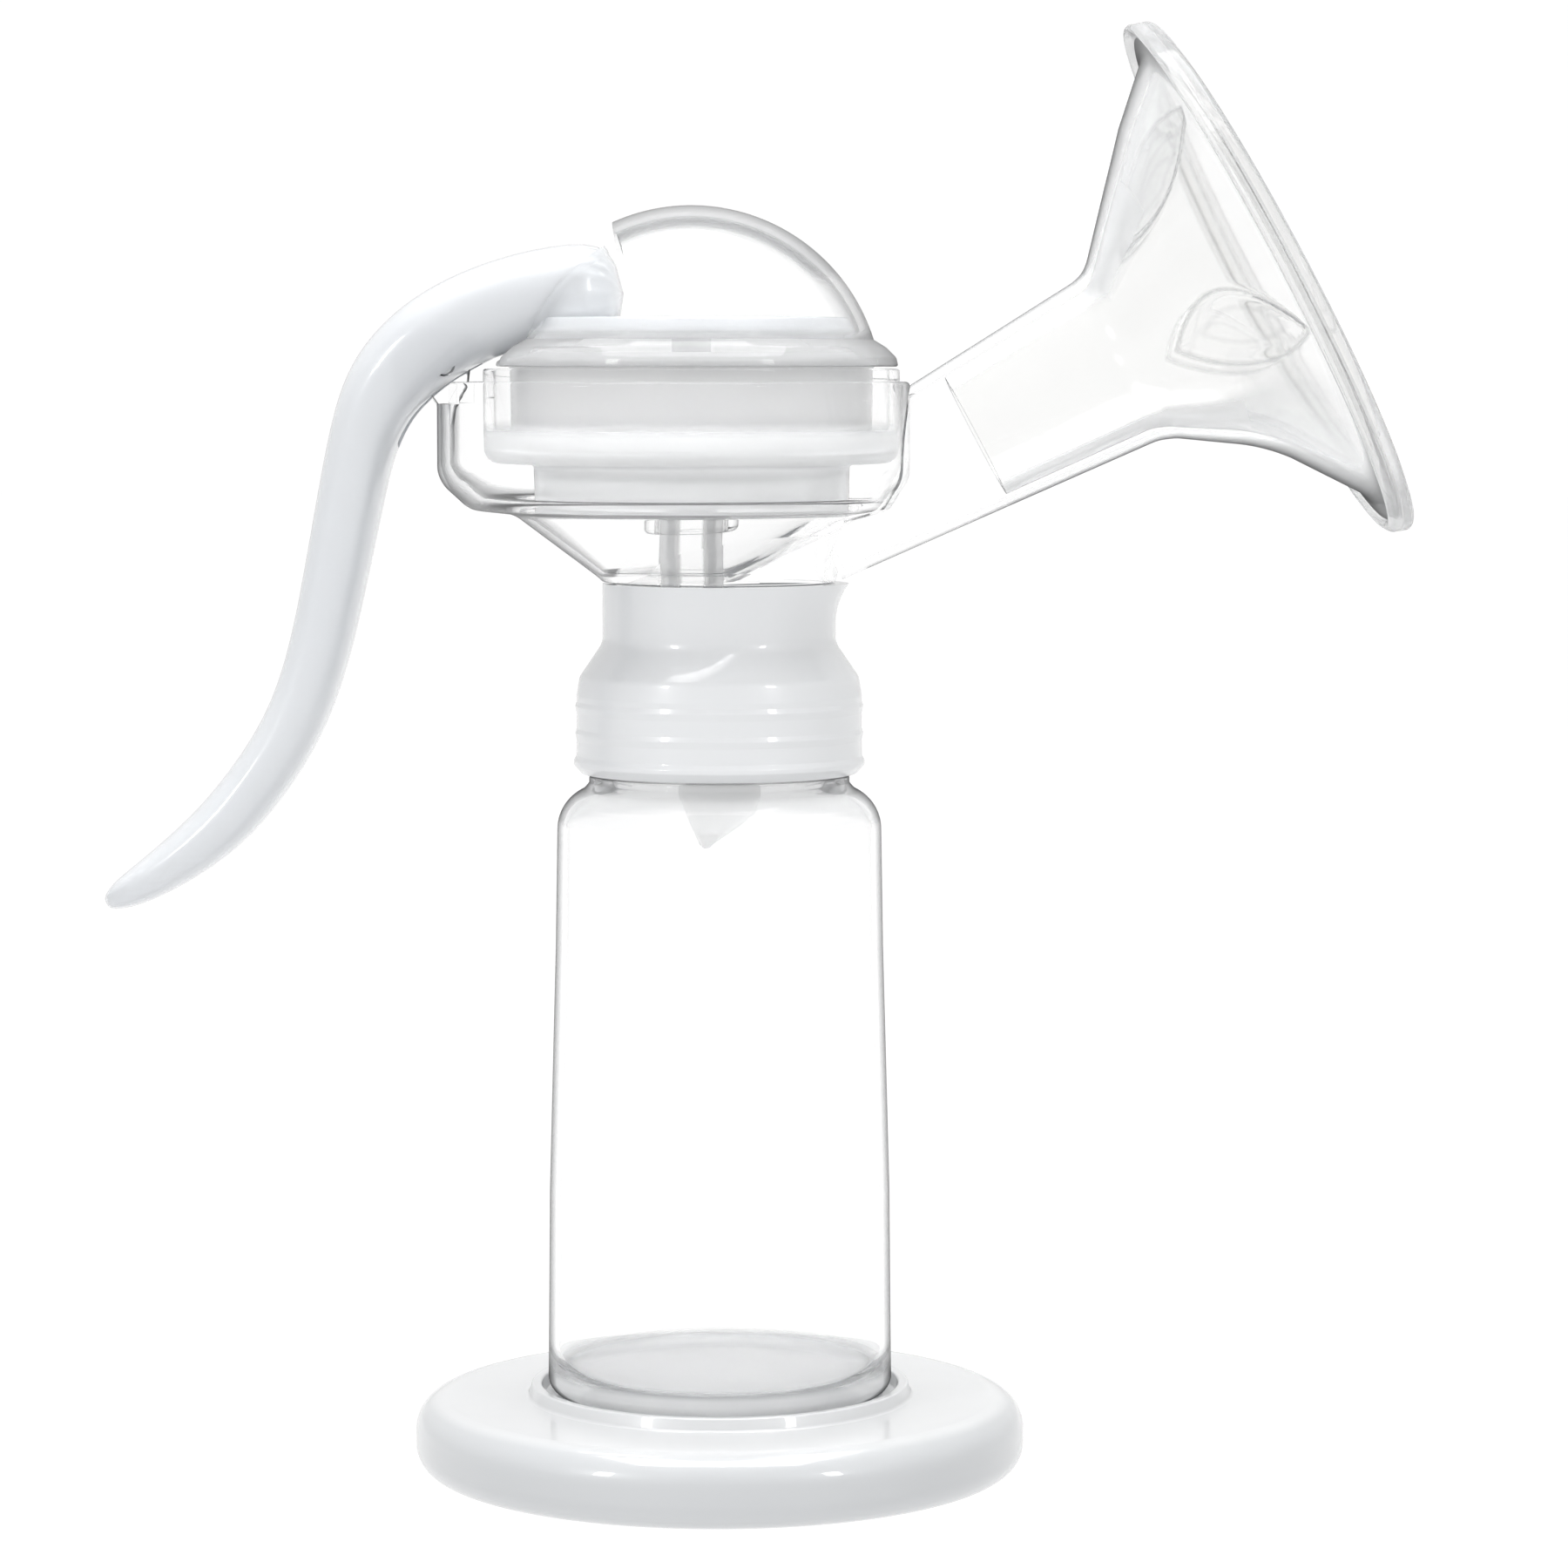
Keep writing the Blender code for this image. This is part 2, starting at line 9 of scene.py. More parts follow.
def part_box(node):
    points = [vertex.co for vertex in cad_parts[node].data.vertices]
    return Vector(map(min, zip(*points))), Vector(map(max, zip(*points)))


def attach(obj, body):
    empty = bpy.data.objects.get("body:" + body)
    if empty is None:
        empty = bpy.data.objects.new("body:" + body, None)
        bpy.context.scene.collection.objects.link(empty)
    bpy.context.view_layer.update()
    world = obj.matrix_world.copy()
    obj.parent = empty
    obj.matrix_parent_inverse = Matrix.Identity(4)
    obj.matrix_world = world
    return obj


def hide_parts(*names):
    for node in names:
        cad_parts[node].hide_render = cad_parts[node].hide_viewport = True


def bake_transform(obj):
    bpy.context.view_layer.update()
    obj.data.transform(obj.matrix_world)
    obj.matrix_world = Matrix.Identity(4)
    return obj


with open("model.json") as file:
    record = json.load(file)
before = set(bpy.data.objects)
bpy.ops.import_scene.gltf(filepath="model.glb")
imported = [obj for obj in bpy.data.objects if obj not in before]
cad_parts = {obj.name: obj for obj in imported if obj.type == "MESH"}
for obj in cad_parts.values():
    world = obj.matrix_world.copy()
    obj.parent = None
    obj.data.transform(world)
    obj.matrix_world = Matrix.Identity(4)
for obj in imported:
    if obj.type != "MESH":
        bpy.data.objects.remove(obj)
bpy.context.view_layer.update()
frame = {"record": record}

scene = bpy.context.scene


# --- Stand -------------------------------------------------------------------------------------
# The foot is one thick disc of milky polypropylene, injection moulded with a generous round edge.
# A low raised ring on its top centres the bottle, which stands in it loose and lifts straight out.

MM = 0.001


def rounded(corners, steps=6, closed=True):
    """Points of an outline whose corners, given as (radius, height, fillet), are rounded off by arcs."""
    points = []
    last = len(corners) - 1
    for i, (radius, height, fillet) in enumerate(corners):
        corner = Vector((radius, height))
        if fillet == 0 or (not closed and i in (0, last)):
            points.append(corner)
            continue
        before = Vector(corners[i - 1][:2]) - corner
        after = Vector(corners[0 if i == last else i + 1][:2]) - corner
        half = before.angle(after) / 2
        reach = min(fillet / math.tan(half), before.length * 0.48, after.length * 0.48)
        curve = reach * math.tan(half)
        inward = (before.normalized() + after.normalized()).normalized()
        middle = corner + inward * math.hypot(reach, curve)
        start = corner + before.normalized() * reach - middle
        end = corner + after.normalized() * reach - middle
        for k in range(steps + 1):
            points.append(middle + start.lerp(end, k / steps).normalized() * curve)
    return points


def turned(points, steps=128, closed=False):
    """Spin an outline of (radius, height) in millimetres once round the Z axis."""
    bm = bmesh.new()
    verts = [bm.verts.new((radius, 0, height)) for radius, height in points]
    pairs = list(zip(verts, verts[1:]))
    if closed:
        pairs.append((verts[-1], verts[0]))
    edges = [bm.edges.new(pair) for pair in pairs]
    bmesh.ops.spin(bm, geom=verts + edges, cent=(0, 0, 0), axis=(0, 0, 1), angle=math.tau, steps=steps,
                   use_merge=True, use_duplicate=False)
    bmesh.ops.remove_doubles(bm, verts=bm.verts, dist=0.001)
    return bm


def made(bm, name, finish=None, sharp=40):
    """Turn a bmesh in millimetres into an object in metres with faces pointing out."""
    bmesh.ops.recalc_face_normals(bm, faces=bm.faces)
    bmesh.ops.scale(bm, vec=(MM, MM, MM), verts=bm.verts)
    mesh = bpy.data.meshes.new(name)
    bm.to_mesh(mesh)
    bm.free()
    mesh.shade_smooth()
    mesh.set_sharp_from_angle(angle=math.radians(sharp))
    piece = bpy.data.objects.new(name, mesh)
    scene.collection.objects.link(piece)
    if finish:
        mesh.materials.append(finish)
    return piece


def fitted(piece, body, slot, *nodes):
    """The piece moves with its body and stands for its CAD nodes."""
    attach(piece, body)
    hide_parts(*nodes)
    return piece


class Value:
    """A shader value that sums like a number, so that 1 - mask adds its Math node."""

    def __init__(self, finish, socket):
        self.finish = finish
        self.socket = socket

    def math(self, operation, first, second):
        return self.finish.node("ShaderNodeMath", "Value", {"operation": operation}, {0: first, 1: second})

    def __add__(self, other):
        return self.math("ADD", self, other)

    def __radd__(self, other):
        return self.math("ADD", other, self)

    def __sub__(self, other):
        return self.math("SUBTRACT", self, other)

    def __rsub__(self, other):
        return self.math("SUBTRACT", other, self)

    def __mul__(self, other):
        return self.math("MULTIPLY", self, other)

    def __rmul__(self, other):
        return self.math("MULTIPLY", other, self)

    def __pow__(self, other):
        return self.math("POWER", self, other)


class Finish:
    """A Principled material: constants go on its own sockets, and varying values are linked."""

    def __init__(self, name, **constants):
        self.material = bpy.data.materials.new(name)
        self.material.use_nodes = True
        self.tree = self.material.node_tree
        self.shader = self.tree.nodes["Principled BSDF"]
        for socket, value in constants.items():
            self.shader.inputs[socket.replace("_", " ")].default_value = value

    def node(self, kind, output, settings=None, sockets=None):
        node = self.tree.nodes.new(kind)
        for name, value in (settings or {}).items():
            setattr(node, name, value)
        for key, value in (sockets or {}).items():
            if isinstance(value, Value):
                self.tree.links.new(value.socket, node.inputs[key])
            else:
                node.inputs[key].default_value = value
        return Value(self, node.outputs[output])

    def drive(self, socket, value):
        self.tree.links.new(value.socket, self.shader.inputs[socket])

    def place(self):
        return self.node("ShaderNodeTexCoord", "Object")

    def clouds(self, scale, detail=2.0, roughness=0.5):
        return self.node("ShaderNodeTexNoise", "Fac", None,
                         {"Vector": self.place(), "Scale": scale, "Detail": detail, "Roughness": roughness})

    def blend(self, share, first, second):
        return self.node("ShaderNodeMix", 2, {"data_type": "RGBA"}, {0: share, 6: first, 7: second})

    def relief(self, height, strength, distance):
        self.drive("Normal", self.node("ShaderNodeBump", "Normal", None,
                                       {"Height": height, "Strength": strength, "Distance": distance}))

    def edge_on(self, start, power):
        """0 where the surface faces the eye and 1 where it is seen edge on."""
        return self.turned_from(start, 1.0) ** power

    def turned_from(self, low, high):
        """0 while the surface faces the eye by more than low tells, and 1 from high on."""
        facing = self.node("ShaderNodeLayerWeight", "Facing", None, {"Blend": 0.5})
        return self.node("ShaderNodeMapRange", "Result", {"clamp": True},
                         {"Value": facing, "From Min": low, "From Max": high})

    def carried(self, attribute):
        """A value the piece's own mesh carries at its vertices."""
        return self.node("ShaderNodeAttribute", "Fac", {"attribute_name": attribute})

    def past(self, axis, low, high):
        """0 before one place along an axis, in millimetres, and 1 past the other."""
        along = self.node("ShaderNodeSeparateXYZ", axis, None, {"Vector": self.place()})
        return self.node("ShaderNodeMapRange", "Result", {"clamp": True, "interpolation_type": "SMOOTHSTEP"},
                         {"Value": along, "From Min": low * MM, "From Max": high * MM})

    def between(self, axis, low, high, soft):
        return self.past(axis, low, low + soft) * (1 - self.past(axis, high - soft, high))

    def lay_haze_and_shade(self, share, colour, roughness=0.35):
        """Lay a diffuse layer over the plastic's clear part by a share: milky haze and painted shade."""
        clear = Value(self, self.shader.outputs[0])
        haze_and_shade = self.node("ShaderNodeBsdfPrincipled", "BSDF", None,
                         {"Base Color": colour, "Roughness": roughness, "Specular IOR Level": 0.0})
        mix = self.node("ShaderNodeMixShader", "Shader", None, {0: share, 1: clear, 2: haze_and_shade})
        self.tree.links.new(mix.socket, self.tree.nodes["Material Output"].inputs["Surface"])


def milky_plastic(name, see_through, pale, deep, shade=0.16, top=None):
    """Natural polypropylene: hazy through its thickness, glossy where the mould was polished.

    The top is painted light: a height in millimetres where it starts to pale, one where done, and its
    colour.
    """
    finish = Finish(name, Transmission_Weight=see_through, IOR=1.49, Coat_Weight=0.9, Coat_Roughness=0.05,
                    Specular_IOR_Level=0.5)
    body_colour = finish.blend(finish.clouds(38.0, 3.0), (*pale, 1.0), (*deep, 1.0))
    # Painted shade: the colour darkens where the surface turns from the eye, to a dark outline at its edge.
    painted_shade_colour = tuple(0.35 * part for part in deep)
    thick = shade * finish.edge_on(0.10, 1.0) + (1 - shade) * finish.edge_on(0.84, 1.0)
    # Painted light: the top is painted paler, as lit from above.
    if top:
        low, high, colour = top
        body_colour = finish.blend(finish.past("Z", low, high), body_colour, (*colour, 1.0))
    finish.drive("Base Color", finish.blend(thick, body_colour, (*painted_shade_colour, 1.0)))
    finish.drive("Roughness", 0.26 + 0.12 * finish.clouds(160.0, 3.0))
    finish.relief(finish.clouds(90.0, 2.0), 0.08, 0.0006)
    return finish.material


stand_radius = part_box("base_stand")[1][0] / MM
stand_outline = [
    (0.0, 0.0, 0), (38.0, 0.0, 1.0), (stand_radius, 1.2, 4.9), (stand_radius, 11.5, 4.7), (28.4, 11.5, 0.6),
    (27.8, 13.4, 0.35), (26.4, 13.4, 0.35), (26.1, 11.4, 0.3), (0.0, 11.3, 0)]
# Painted light: the foot's top is painted paler than its side.
stand_finish = milky_plastic(
    "stand milky polypropylene", 0.10, (0.66, 0.675, 0.69), (0.63, 0.645, 0.66),
    top=(10.4, 11.5, (0.78, 0.79, 0.80)))
stand = made(turned(rounded(stand_outline, 8, closed=False), 160), "stand_foot", stand_finish)
fitted(stand, "stand", "milky_plastic", "base_stand")


# --- Bottle ------------------------------------------------------------------------------------
# A feeding bottle of clear polypropylene, stretch blown, so its wall is thin and its body swells a
# little towards the foot. The neck carries one start of right-hand thread for the screw collar.

THREAD_PITCH = 4.0
NECK_RADIUS = 17.2
NECK_START = 104.0
THREAD_FINENESS = 0.25


def clear_plastic(name, start, power, edge=0.40, line=0.10, haze_and_shade=0.86, gloss=0.04, ior=1.08, coat=0.25,
                  haze=(), walls=(), faint=(), outside=None):
    """Clear moulded plastic: water-clear face on, with painted shade where its wall is seen edge on.

    Each haze is an amount, the heights in millimetres it lies between, and how softly it ends.
    Each wall is an amount of painted shade, the turn from the eye it starts at, and the range it lies in.
    The rim is fainter inside each box of (axis, low, high, soft) ranges given as faint, and outside
    names the attribute that keeps it to the wall's outer face.
    """
    finish = Finish(name, Transmission_Weight=1.0, IOR=ior, Coat_Weight=coat, Coat_Roughness=0.03)
    # Painted shade: where the wall turns edge on the colour greys and a dark diffuse line lies over it.
    rim = finish.edge_on(start, power)
    if outside:
        rim = rim * (0.12 + 0.88 * finish.carried(outside))
    for box in faint:
        inside = 1.0
        for axis, low, high, soft in box:
            inside = inside * finish.between(axis, low, high, soft)
        rim = rim * (1 - 0.85 * inside)
    clear_tint = (0.998, 0.998, 0.998, 1.0)
    edge_shade_tint = (edge, edge * 1.01, edge * 1.02, 1.0)
    finish.drive("Base Color", finish.blend(rim, clear_tint, edge_shade_tint))
    finish.drive("Roughness", gloss + 0.03 * finish.clouds(120.0, 3.0))
    finish.relief(finish.clouds(55.0, 1.0), 0.05, 0.0008)
    # The layer carries the painted dark edge, the haze, and the bands of painted shade on the walls.
    share = 0.85 * rim
    for amount, low, high, soft in haze:
        share = share + amount * finish.between("Z", low, high, soft)
    for amount, turn, axis, low, high, soft in walls:
        wall = amount * finish.turned_from(turn, turn + 0.06) * finish.between(axis, low, high, soft)
        share = share + (wall * finish.carried(outside) if outside else wall)
    haze_and_shade_tint = (haze_and_shade, haze_and_shade * 1.01, haze_and_shade * 1.02, 1.0)
    finish.lay_haze_and_shade(share, finish.blend(rim ** 0.6, haze_and_shade_tint, (line, line, line, 1.0)))
    return finish.material


def screw_ridge(height, angle, start, turns, pitch):
    """How far a thread's ridge stands out at this height and angle, 0 to 1."""
    along = (height - start) / pitch - angle / math.tau
    turn = round(along)
    if turn < 0 or turn > turns:
        return 0.0
    offset = abs(along - turn) * pitch
    return max(0.0, min(1.0, (0.95 - offset) / 0.55))


shoulder_middle = Vector((17.3, 95.5))


def round_corner(middle, radius, start, end, steps):
    """Points on an arc, its angles in degrees from the outward direction."""
    angles = [math.radians(start + (end - start) * i / steps) for i in range(steps + 1)]
    return [middle + Vector((math.cos(angle), math.sin(angle))) * radius for angle in angles]


bottle_outline = rounded([
    (0.0, 13.6, 0), (14.0, 13.2, 6.0), (20.5, 12.0, 1.5), (25.4, 12.0, 3.2), (25.1, 42.0, 60.0),
    (24.1, 78.0, 0)], 8, closed=False)
bottle_outline += round_corner(shoulder_middle, 6.5, 0, 66, 14)
bottle_outline += rounded([
    (19.5, 101.9, 0), (19.1, 102.4, 0.3), (19.1, 103.4, 0.4), (NECK_RADIUS, 103.6, 0.2),
    (NECK_RADIUS, NECK_START, 0)], 4, closed=False)
bottle_outline += [Vector((NECK_RADIUS, NECK_START + THREAD_FINENESS * i)) for i in range(1, 45)]
bottle_outline += rounded([
    (NECK_RADIUS, 115.4, 0), (NECK_RADIUS, 116.0, 0.3), (15.5, 116.0, 0.3), (15.5, 102.2, 1.2),
    (18.6, 100.6, 1.0), (20.9, 99.1, 0)], 6, closed=False)
bottle_outline += round_corner(shoulder_middle, 5.0, 40, 0, 8)
bottle_outline += rounded([
    (22.5, 78.0, 60.0), (23.6, 42.0, 60.0), (23.9, 14.6, 4.6), (14.0, 14.8, 6.0), (0.0, 15.2, 0)],
    8, closed=False)
bottle_shape = turned(bottle_outline, 144)
outer_mark = bottle_shape.verts.layers.float.new("outer_face")
for vert in bottle_shape.verts:
    radius = math.hypot(vert.co.x, vert.co.y)
    if vert.co.z > shoulder_middle.y:
        vert[outer_mark] = float((Vector((radius, vert.co.z)) - shoulder_middle).length > 5.8)
    else:
        vert[outer_mark] = float(radius > 25.45 - 0.0175 * vert.co.z - 0.7)
    if abs(radius - NECK_RADIUS) < 0.05 and vert.co.z > NECK_START:
        angle = math.atan2(vert.co.y, vert.co.x) % math.tau
        ridge = 1.25 * screw_ridge(vert.co.z, angle, 105.4, 1, THREAD_PITCH)
        vert.co.x *= 1 + ridge / radius
        vert.co.y *= 1 + ridge / radius
bottle_haze = [(0.60, -1.0, 17.0, 2.0), (0.24, 96.0, 120.0, 1.5)]
bottle_clear = clear_plastic("bottle clear polypropylene", 0.72, 0.6, line=0.05, haze=bottle_haze,
                             outside="outer_face")
bottle = made(bottle_shape, "bottle_body", bottle_clear)
fitted(bottle, "pump", "clear_plastic", "bottle")


# --- Seal ring, valve seat and duckbill ----------------------------------------------------------
# A flat gasket closes the bottle's mouth. Over it a rigid seat plugs the neck, and a soft silicone
# duckbill is pushed on the seat's spout: its two lips open under suction's end and let milk drop.


def silicone(name, see_through, pale, deep):
    """Liquid-moulded silicone: soft, frosted and slightly grey in the thick places."""
    finish = Finish(name, Transmission_Weight=see_through, IOR=1.41, Specular_IOR_Level=0.4)
    finish.drive("Base Color", finish.blend(finish.clouds(60.0, 3.0), (*pale, 1.0), (*deep, 1.0)))
    finish.drive("Roughness", 0.16 + 0.12 * finish.clouds(210.0, 3.0))
    finish.relief(finish.clouds(400.0, 2.0), 0.10, 0.0002)
    return finish.material


valve_silicone = silicone("valve silicone", 0.10, (0.96, 0.962, 0.965), (0.92, 0.925, 0.93))
seal_outline = [(16.9, 116.3, 0.3), (16.9, 117.6, 0.3), (13.4, 117.6, 0.3), (13.4, 116.3, 0.3)]
seal = made(turned(rounded(seal_outline, 3), 96, closed=True), "mouth_gasket", valve_silicone)
fitted(seal, "pump", "silicone", "bottle_seal_ring")

inner_milky = milky_plastic("inner milky polypropylene", 0.30, (0.84, 0.85, 0.87), (0.79, 0.81, 0.83))
seat_outline = [
    (15.1, 118.2, 0.3), (15.1, 120.2, 0.3), (5.6, 121.4, 0.8), (5.6, 124.6, 0.4), (4.4, 124.6, 0.3),
    (4.4, 108.4, 0.3), (5.4, 108.4, 0.3), (5.4, 118.2, 0.5)]
seat = made(turned(rounded(seat_outline, 3), 96, closed=True), "valve_seat_disc", inner_milky)
fitted(seat, "pump", "milky_plastic", "valve_seat")


def ringed(bm, segments, centre, height, across, wide, edges=None):
    """Add one level ring; from the second on it is extruded from the ring below."""
    if edges is None:
        bmesh.ops.create_circle(bm, cap_ends=False, radius=1.0, segments=segments)
        verts = list(bm.verts)
        edges = list(bm.edges)
    else:
        grown = bmesh.ops.extrude_edge_only(bm, edges=edges)["geom"]
        verts = [item for item in grown if isinstance(item, bmesh.types.BMVert)]
        edges = [item for item in grown if isinstance(item, bmesh.types.BMEdge)
                 and all(vert in verts for vert in item.verts)]
    middle = sum((vert.co for vert in verts), Vector()) / len(verts)
    for vert in verts:
        out = vert.co - middle
        out.z = 0
        turn = math.atan2(out.y, out.x)
        vert.co = Vector((centre + across * math.cos(turn), wide * math.sin(turn), height))
    return edges


duckbill_shape = bmesh.new()
duckbill_levels = [
    (0.0, 117.8, 6.0, 6.0), (0.0, 117.8, 7.2, 7.2), (0.0, 115.6, 7.4, 7.4), (0.0, 114.6, 6.6, 6.6),
    (0.0, 103.5, 6.2, 6.2), (0.1, 100.0, 5.9, 6.0), (0.2, 98.0, 5.2, 5.7), (-0.9, 95.4, 3.0, 5.1),
    (-1.9, 93.3, 1.1, 4.6), (-1.9, 93.0, 0.7, 4.3), (-1.9, 93.1, 0.25, 3.7), (-1.4, 95.4, 1.6, 4.0),
    (0.1, 99.4, 4.3, 4.6), (0.0, 103.5, 5.7, 5.7), (0.0, 117.6, 5.75, 5.75)]
edges = None
for centre, height, across, wide in duckbill_levels:
    edges = ringed(duckbill_shape, 48, centre, height, across, wide, edges)
open_edges = [edge for edge in duckbill_shape.edges if edge.is_boundary]
bmesh.ops.bridge_loops(duckbill_shape, edges=open_edges)
duckbill = made(duckbill_shape, "duckbill", valve_silicone, sharp=50)
fitted(duckbill, "pump", "silicone", "duckbill_valve")


# --- Screw connector -----------------------------------------------------------------------------
# Collar and neck are one milky moulding. The collar has a bead at its lower edge, two low ridges to
# grip and a female thread inside; the neck leans out under the horn, to which it is welded.

connector_bore = 19.3
neck_foot = 17.1
collar_outline = rounded([
    (neck_foot, 131.6, 0), (neck_foot, 122.9, 3.0), (20.5, 117.9, 2.0), (20.95, 115.2, 1.0),
    (20.95, 114.4, 0.3), (21.15, 113.7, 0.6), (20.95, 112.7, 0.5), (20.95, 110.4, 0.5), (21.15, 109.7, 0.6),
    (20.95, 108.7, 0.5), (21.0, 106.4, 0.4), (21.35, 105.7, 0.4), (21.35, 105.1, 0.4), (20.9, 104.6, 0.4),
    (20.2, 103.8, 0.5),
    (connector_bore, 103.8, 0)], 5, closed=False)
collar_outline += [Vector((connector_bore, 104.6 + THREAD_FINENESS * i)) for i in range(52)]
collar_outline += rounded([
    (connector_bore, 117.9, 0), (15.4, 117.9, 0.4), (15.4, 131.6, 0)], 4, closed=False)
connector_shape = turned(collar_outline, 144, closed=True)
for height in (125.6, 126.6, 127.6, 128.6, 129.6, 130.6):
    everything = connector_shape.verts[:] + connector_shape.edges[:] + connector_shape.faces[:]
    bmesh.ops.bisect_plane(connector_shape, geom=everything, plane_co=(0, 0, height), plane_no=(0, 0, 1))
for vert in connector_shape.verts:
    radius = math.hypot(vert.co.x, vert.co.y)
    if abs(radius - connector_bore) < 0.02 and 104.5 < vert.co.z < 117.5:
        angle = math.atan2(vert.co.y, vert.co.x) % math.tau
        ridge = 0.75 * screw_ridge(vert.co.z, angle, 107.4, 2, THREAD_PITCH)
        vert.co.x *= 1 - ridge / radius
        vert.co.y *= 1 - ridge / radius
    rise = max(0.0, vert.co.z - 126.0) / 5.6
    if vert.co.x > 0:
        vert.co.x += 1.9 * rise ** 2 * (vert.co.x / neck_foot) ** 2
# Painted shade: the collar's sides are painted darker by a larger share.
collar_milky = milky_plastic(
    "collar milky polypropylene", 0.14, (0.86, 0.872, 0.885), (0.82, 0.834, 0.85), shade=0.34)
connector = made(connector_shape, "screw_connector", collar_milky)
fitted(connector, "pump", "milky_plastic", "bottle_connector")


# --- Pump body -------------------------------------------------------------------------------------
# Hood bowl, cone, horn and funnel are one clear moulding. The bowl's floor closes it off from the
# horn, whose bore runs on under the floor into the neck, and a lug on the rim takes the lever's pin.

CHAMBER_X = -4.0
HORN_ANGLE = math.radians(28.0)
HORN_OFFSET = 117.6
HORN_START = 78.0
FLARE_START = 129.5
FUNNEL_END = 153.6
horn_place = (Matrix.Translation(Vector((-math.sin(HORN_ANGLE), 0, math.cos(HORN_ANGLE))) * HORN_OFFSET)
              @ Matrix.Rotation(math.radians(90) - HORN_ANGLE, 4, "Y"))


def flare_shift(station):
    """The flare's middle stands a little above the horn's axis, and comes back to it at the rim."""
    share = min(1.0, max(0.0, (station - FLARE_START) / (FUNNEL_END - FLARE_START)))
    return 2.6 * math.sin(math.pi * share ** 1.3)


def on_horn(bm):
    """Move a shape turned about Z, with stations as heights, to the sloping horn."""
    for vert in bm.verts:
        vert.co.x -= flare_shift(vert.co.z)
    bmesh.ops.transform(bm, matrix=horn_place, verts=bm.verts)
    return bm


def value_at(levels, height):
    """Read off (height, value) pairs, straight between them and level past the last."""
    value = levels[0][1]
    for (low, start), (high, end) in zip(levels, levels[1:]):
        if height >= low:
            value = start + (end - start) * min(1.0, (height - low) / (high - low))
    return value


def leaning(bm, levels):
    """Slide a turned shape sideways by height, through (height, shift) pairs."""
    for vert in bm.verts:
        vert.co.x += value_at(levels, vert.co.z)
    return bm


def carve(piece, tool, operation="DIFFERENCE"):
    """Join a tool to a piece or cut it away, at once, and put the tool away."""
    cut = piece.modifiers.new("carve", "BOOLEAN")
    cut.operation = operation
    cut.object = tool
    graph = bpy.context.evaluated_depsgraph_get()
    mesh = bpy.data.meshes.new_from_object(piece.evaluated_get(graph))
    piece.modifiers.clear()
    piece.data = mesh
    bpy.data.objects.remove(tool)
    return piece


def block(low, high, name="block"):
    bm = bmesh.new()
    bmesh.ops.create_cube(bm, size=1.0)
    size = Vector(high) - Vector(low)
    bmesh.ops.scale(bm, vec=size, verts=bm.verts)
    bmesh.ops.translate(bm, vec=Vector(low) + size / 2, verts=bm.verts)
    return made(bm, name)


def slab(outline, half, name="slab", soften=0.0):
    """A flat outline of (x, z) drawn out to both sides of the middle plane."""
    bm = bmesh.new()
    face = bm.faces.new([bm.verts.new((x, -half, z)) for x, z in outline])
    grown = bmesh.ops.extrude_face_region(bm, geom=[face])["geom"]
    verts = [item for item in grown if isinstance(item, bmesh.types.BMVert)]
    bmesh.ops.translate(bm, vec=(0, 2 * half, 0), verts=verts)
    if soften:
        bmesh.ops.bevel(bm, geom=bm.edges[:], offset=soften, affect="EDGES", segments=3, profile=0.5,
                        material=-1)
    return made(bm, name)


def pin_bore(radius, half, name="bore", soften=0.0):
    bm = bmesh.new()
    bmesh.ops.create_cone(bm, cap_ends=True, segments=40, radius1=radius, radius2=radius, depth=2 * half)
    if soften:
        ends = [edge for edge in bm.edges if len({round(vert.co.z, 3) for vert in edge.verts}) == 1]
        bmesh.ops.bevel(bm, geom=ends, offset=soften, affect="EDGES", segments=3, profile=0.5, material=-1)
    bmesh.ops.rotate(bm, verts=bm.verts, cent=(0, 0, 0), matrix=Matrix.Rotation(math.radians(90), 3, "X"))
    bmesh.ops.translate(bm, vec=pivot, verts=bm.verts)
    return made(bm, name)


joints = frame["record"]["behaviour"]["joints"]
lever_joint = next(joint for joint in joints if joint["name"] == "lever_squeeze")
pivot = Vector(lever_joint["pos_m"]) / MM
bowl_shift = [(131.9, 0.0), (132.6, -0.3), (141.9, -4.9), (142.4, -5.9), (144.2, -6.4), (148.0, -6.6)]
bowl_outline = rounded([
    (0.0, 131.9, 0), (17.1, 131.9, 0.3), (17.6, 132.7, 1.0), (25.2, 141.7, 2.5), (30.4, 142.4, 3.0),
    (34.5, 146.8, 5.0), (34.5, 161.0, 0.7), (0.0, 161.0, 0)], 8, closed=False)
body = made(leaning(turned(bowl_outline, 144), bowl_shift), "hood_and_horn")
horn_outline = rounded([
    (0.0, HORN_START, 0), (9.4, HORN_START, 0), (11.3, 104.0, 80.0), (13.2, 129.6, 7.0), (24.0, 141.6, 60.0),
    (36.2, 151.9, 12.0), (39.6, 152.3, 0.4), (39.6, FUNNEL_END, 0.5), (0.0, FUNNEL_END, 0)], 8, closed=False)
carve(body, made(on_horn(turned(horn_outline, 144)), "horn_outside"), "UNION")
cavity_shift = [(133.6, -7.7), (142.0, -4.9), (143.6, -4.9), (145.6, -6.1), (149.0, -6.2)]
cavity_outline = rounded([
    (0.0, 133.6, 0), (9.1, 133.6, 1.2), (23.8, 142.0, 0.8), (25.0, 143.9, 0.8), (29.4, 143.9, 2.5),
    (33.1, 148.0, 4.0), (33.1, 180.0, 0), (0.0, 180.0, 0)], 8, closed=False)
under_shift = [(132.2, -7.7), (140.6, -4.9), (142.5, -5.9), (144.2, -6.4), (148.4, -6.6)]
